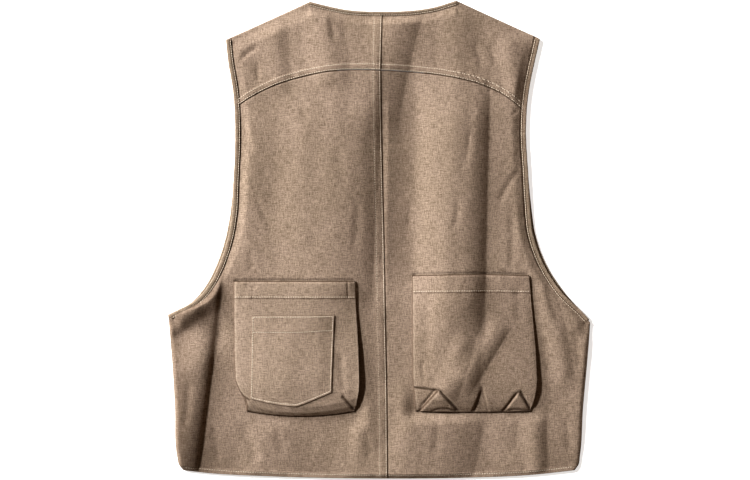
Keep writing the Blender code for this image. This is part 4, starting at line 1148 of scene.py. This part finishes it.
def bellows_pocket(name, rows):
    """Pocket with a face that stands off the back on side and bottom walls, open at its mouth."""
    mouth, seam = rows[0][0], rows[-1][0]
    height = mouth - seam
    near_mouth = (0, 0.12, 0.35, 0.8, 1.8, 3.4)
    from_mouth = spread(height, near_mouth, (0, 0.8, 1.8), int(height / POCKET_CELL))
    hem_rows = (POCKET_HEM - np.array([2.4, 1.5, 0.6, -0.4, -1.2])) / height
    heights = mouth - height * np.sort(np.concatenate((from_mouth, hem_rows)))[::-1]
    wall_steps = ((0, 0), (0.16, 0.28), (0.32, 0.56), (0.5, 0.82), (0.72, 0.95))
    columns = [(1, 2, step, rise) for step, rise in wall_steps]
    width = rows[0][3] - rows[0][2]
    columns += [(2, 3, share, 1) for share in spread(width, (0, 0.4, 1, 2), (0, 0.4, 0.9, 1.8),
                                                       int(width / POCKET_CELL))]
    gusset = ((0.06, 0.90), (0.35, 0.66), (0.75, 0.50), (0.72, 0.34), (0.35, 0.14), (0, 0))
    columns += [(4, 3, 1 - inset, rise) for inset, rise in gusset[:3]]
    columns += [(4, 3, 0.25 - 0.25 * (1 - inset), rise) for inset, rise in gusset[3:]]
    grid = []
    for start, end, share, rise_share in columns:
        start_x, end_x = pocket_row(rows, heights, start), pocket_row(rows, heights, end)
        grid.append(pocket_point(rows, start_x + (end_x - start_x) * share, heights, rise_share))
    points = np.stack(grid, axis=1)
    cloth = joined(run_along(points, 1) + rows[0][1], run_along(points))
    left = pocket_row(rows, heights, 2)[:, None]
    right = pocket_row(rows, heights, 3)[:, None]
    below = (mouth - heights)[:, None]
    inside, seam_off = points[..., 0] - left, heights[:, None] - seam
    wear_and_painted_shading = 0.3 * edge_wear(points[..., 0] - right + 1.2, inside - 2.2, reach=0.9)
    # Painted shade at the mouth, along the left wall, at the bottom seam and along the pocket lines, painted
    # shade on the low cloth, and a painted light or shade over each whole pocket
    painted_shade_lines = np.maximum(0.95 * smoothstep((1.9 - below) / 0.9), 0.7 * smoothstep(1 - (inside - 0.2) / 0.9))
    painted_shade_lines = np.maximum(painted_shade_lines, 0.9 * smoothstep(1.2 - seam_off / 2))
    painted_shade_lines = np.maximum(painted_shade_lines, 0.95 * line_shade(POCKET_LINES, points[..., 0], points[..., 1]))
    wear_and_painted_light = LEFT_POCKET_PAINTED_LIGHT if rows is POCKET_LEFT else RIGHT_POCKET_PAINTED_SHADE
    wear_and_painted_shading = np.where(painted_shade_lines > 0.08, -painted_shade_lines, wear_and_painted_shading + wear_and_painted_light) - painted_hollow_shade(points[..., 2] - 3)
    made = shell(name, points, cloth, wear_and_painted_shading, pocket_canvas)


def patch_pocket():
    """Flat pocket on the left bellows pocket's face, its points the face's own, moved out."""
    low_left, low_middle, low_right, high_right, high_left = [np.array(corner) for corner in PATCH_CORNERS]
    width, height = high_right[0] - high_left[0], high_left[1] - low_left[1]
    turn = (low_middle[0] - low_left[0]) / (low_right[0] - low_left[0])
    near = (0, 0.12, 0.35, 0.8, 1.4, 2.2)
    across, bottom = in_two(width, turn, ((low_left, low_middle), (low_middle, low_right)),
                            ((near, (0, 1)), ((0, 1), near)),
                            (int(width * turn / POCKET_CELL), int(width * (1 - turn) / POCKET_CELL)))
    rows = spread(height, near, near, int(height / POCKET_CELL))
    hem_rows = 1 - (PATCH_HEM + np.array([-1, 0, 1])) / height
    up = np.sort(np.concatenate((rows, hem_rows)))
    top = high_left + (high_right - high_left) * across[:, None]
    left = low_left + (high_left - low_left) * up[:, None]
    right = low_right + (high_right - low_right) * up[:, None]
    plan = patch(bottom, top, left, right, across, up)
    x, level = plan[..., 0], plan[..., 1]
    points = pocket_point(POCKET_LEFT, x, level)
    left_off, right_off = across[None, :] * width, (1 - across[None, :]) * width
    low_off, high_off = up[:, None] * height, (1 - up[:, None]) * height
    lift = GAP + WALL + SEAM_BULK * 0.6 * band(high_off, PATCH_HEM)
    for off in (left_off, right_off, low_off, high_off):
        lift = lift - round_over(off, FOLD_ROUND)
    for off in (left_off, right_off, low_off):
        lift = lift + groove(off, (PATCH_STITCH,), depth=0.25)
    lift = lift + groove(high_off, (PATCH_HEM,), depth=0.3)
    bulge = smoothstep(left_off / 22) * smoothstep(right_off / 22) * smoothstep(low_off / 26)
    lift = lift + PATCH_BULGE * bulge + pucker(x, low_off, 63, height=0.25)
    lift = lift + pucker(level, left_off, 61, height=0.2) + pucker(level, right_off, 62, height=0.2)
    points[..., 2] += lift
    wear_and_painted_shading = 0.3 * edge_wear(left_off - 1.2, right_off - 1.6, low_off - 1.2, high_off - 1.6, reach=0.7)
    # Painted shade along the patch's edges, and the left pocket's painted light over the whole patch
    painted_shade_lines = 0
    for off, strength, reach in ((left_off, 0.7, 1), (right_off, 1, 1.6),
                                 (low_off, 0.6, 1), (high_off, 0.8, 1.4)):
        painted_shade_lines = np.maximum(painted_shade_lines, strength * smoothstep(reach - off / 0.8))
    wear_and_painted_shading = wear_and_painted_shading + LEFT_POCKET_PAINTED_LIGHT - painted_shade_lines
    made = shell("cloth_patch_pocket", points, plan, wear_and_painted_shading, pocket_canvas, wall=PATCH_WALL)
    inset = near.index(PATCH_STITCH)
    hem = int(np.argmin(np.abs(up - 1 + PATCH_HEM / height)))
    inner = points[inset:-inset, inset:-inset]
    return [inner[0], inner[:, 0], inner[:, -1], inner[-1], points[hem, inset:-inset]]


# Stitches

STITCH = 2.5
STITCH_PITCH = 3.3
THREAD_RADIUS = 0.46
STITCH_RINGS = ((-0.5, 0.25, -0.35), (-0.36, 0.85, 0), (0, 1, 0.12), (0.36, 0.85, 0), (0.5, 0.25, -0.35))
STITCH_SIDES = 6


def stitches(name, lines):
    """One mesh of short thread loops along lines in space, each sunk at its ends."""
    rings, sides = len(STITCH_RINGS), STITCH_SIDES
    place, girth, lift = (column[:, None, None] for column in np.array(STITCH_RINGS).T)
    turns = np.arange(sides)[:, None] * 2 * math.pi / sides
    loops = []
    for number, line in enumerate(lines):
        count = max(int(length_of(line) / STITCH_PITCH), 1)
        share = (np.arange(count) + 0.5) / count
        step = 0.5 * STITCH / length_of(line)
        middle, before, after = (along(line, share + shift) for shift in (0, -step, step))
        course = unit(after - before)[:, None, None]
        out = unit(np.cross(course, (0, 0, 1)))
        rise = np.cross(out, course)
        wobble = 0.10 * noise(np.arange(count) * 0.9, np.zeros(count), 71 + number)
        centre = middle[:, None, None] + course * place * STITCH + out * wobble[:, None, None, None]
        centre = centre + rise * lift * THREAD_RADIUS
        loops.append(centre + THREAD_RADIUS * girth * (out * np.cos(turns) + rise * np.sin(turns)))
    vertices = np.concatenate(loops).reshape(-1, 3) * MM
    walls = [(corner, after, after + sides, corner + sides)
             for ring in range(0, (rings - 1) * sides, sides)
             for corner, after in zip(range(ring, ring + sides), [*range(ring + 1, ring + sides), ring])]
    caps = [range(sides)[::-1], range((rings - 1) * sides, rings * sides)]
    faces = [tuple(first + corner for corner in face)
             for first in range(0, len(vertices), rings * sides) for face in (*walls, *caps)]
    mesh = bpy.data.meshes.new(name)
    mesh.from_pydata(vertices.tolist(), [], faces)
    rework(mesh, lambda form: bmesh.ops.recalc_face_normals(form, faces=form.faces))
    placed(name, mesh, thread)


THREAD_SINK = -0.05
FELLED_SINKS = (-0.05, 0.2)


def on_back(side, x, y, at_yoke=False, sink=THREAD_SINK):
    """Line of stitches on a back panel or a yoke, at its dented surface."""
    z = back_top(x, y) + seam_relief(side, x, y, at_yoke) - sink
    return joined(x, y, z)


def back_stitches():
    lines = []
    for side in (-1, 1):
        x = np.linspace(SIDE_CORNERS[side] - side * 4, centre_x(-325) + side * 0.8, 700)
        lines.append(on_back(side, x, hem_y(x) + HEM_STITCH))
    for off, sink in zip(FELLED_STITCHES, FELLED_SINKS):
        y = np.linspace(-327, yoke_y(0) - 1, 1200)
        lines.append(on_back(-1, centre_x(y) - off, y, sink=sink))
        y = np.linspace(yoke_y(0) + 0.5, 308, 300)
        lines.append(on_back(-1, centre_x(y) - off, y, at_yoke=True, sink=sink))
    for side in (-1, 1):
        edge = panel_edge(side, ARMHOLE_BINDING_WIDTH)
        _, high = split_at_yoke(edge)
        for off in YOKE_STITCHES:
            x = np.linspace(high[0, 0], centre_x(233) + side * 0.6, 700)
            lines.append(on_back(side, x, yoke_y(x) + off, at_yoke=True))
    stitches("stitches_back", lines)


def binding_stitches(paths):
    lines = []
    for path, outs, width in paths:
        lines.append(path - unit(outs * (1, 1, 0)) * (width / 2 - 0.6) + (0, 0, 1))
    stitches("stitches_bindings", lines)


def pocket_stitches(patch_lines):
    lines = []
    for rows in (POCKET_LEFT, POCKET_RIGHT):
        level = rows[0][0] - POCKET_STITCH
        left, right = pocket_row(rows, level, 2), pocket_row(rows, level, 3)
        x = np.linspace(left + 1.5, right - 1.5, 400)
        lines.append(pocket_point(rows, x, np.full(400, level)))
    lines = [line - (0, 0, THREAD_SINK) for line in lines + patch_lines]
    stitches("stitches_pockets", lines)


# The vest

for side in (-1, 1):
    front_panel(side)
    back_panel(side)
    yoke_panel(side)
armhole_runs = {side: armhole_binding(side) for side in (-1, 1)}
neck_run = neck_binding()
bellows_pocket("cloth_pocket_left", POCKET_LEFT)
bellows_pocket("cloth_pocket_right", POCKET_RIGHT)
patch_lines = patch_pocket()
back_stitches()
binding_stitches([(*armhole_runs[side], ARMHOLE_BINDING_WIDTH) for side in (-1, 1)]
                 + [(*neck_run, NECK_BINDING_WIDTH)])
pocket_stitches(patch_lines)


# Floor, light and camera

LIGHTS = (("key", (-5.2, 3, 4.16), 0.78, 625), ("rake", (-6.7, 3.84, 1.89), 2.2, 1100))
FILL_COLOUR = (1, 0.70, 0.46, 1)
FILL_STRENGTH = 0.10
FLOOR_SIZE = 6
FLOOR_PAPER = {
    "Base Color": (0.94, 0.94, 0.94, 1),
    "Emission Color": (1, 1, 1, 1),
    "Emission Strength": 0.55,
    "Roughness": 0.9,
}
CAMERA_PLACE = (-0.0062, -0.0007, 2.6)
CAMERA_LENS = 90.4


def studio():
    bpy.ops.mesh.primitive_plane_add(size=FLOOR_SIZE)
    floor = bpy.context.active_object
    floor.name = "floor"
    floor.data.materials.append(new_material("floor_paper", FLOOR_PAPER)[0])

    scene = bpy.context.scene
    scene.world = bpy.data.worlds.new("studio")
    scene.world.use_nodes = True
    fill = scene.world.node_tree.nodes["Background"].inputs
    fill["Color"].default_value = FILL_COLOUR
    fill["Strength"].default_value = FILL_STRENGTH

    for name, place, size, power in LIGHTS:
        light = bpy.data.lights.new(name, "AREA")
        light.size = size
        light.energy = power
        made = added(name, light, place)
        made.rotation_euler = (-Vector(place)).to_track_quat("-Z", "Y").to_euler()

    camera = bpy.data.cameras.new("camera")
    camera.lens = CAMERA_LENS
    camera.sensor_width = 36
    scene.camera = added("camera", camera, CAMERA_PLACE)
    scene.view_settings.view_transform = "Standard"
    scene.view_settings.look = "Medium High Contrast"


studio()
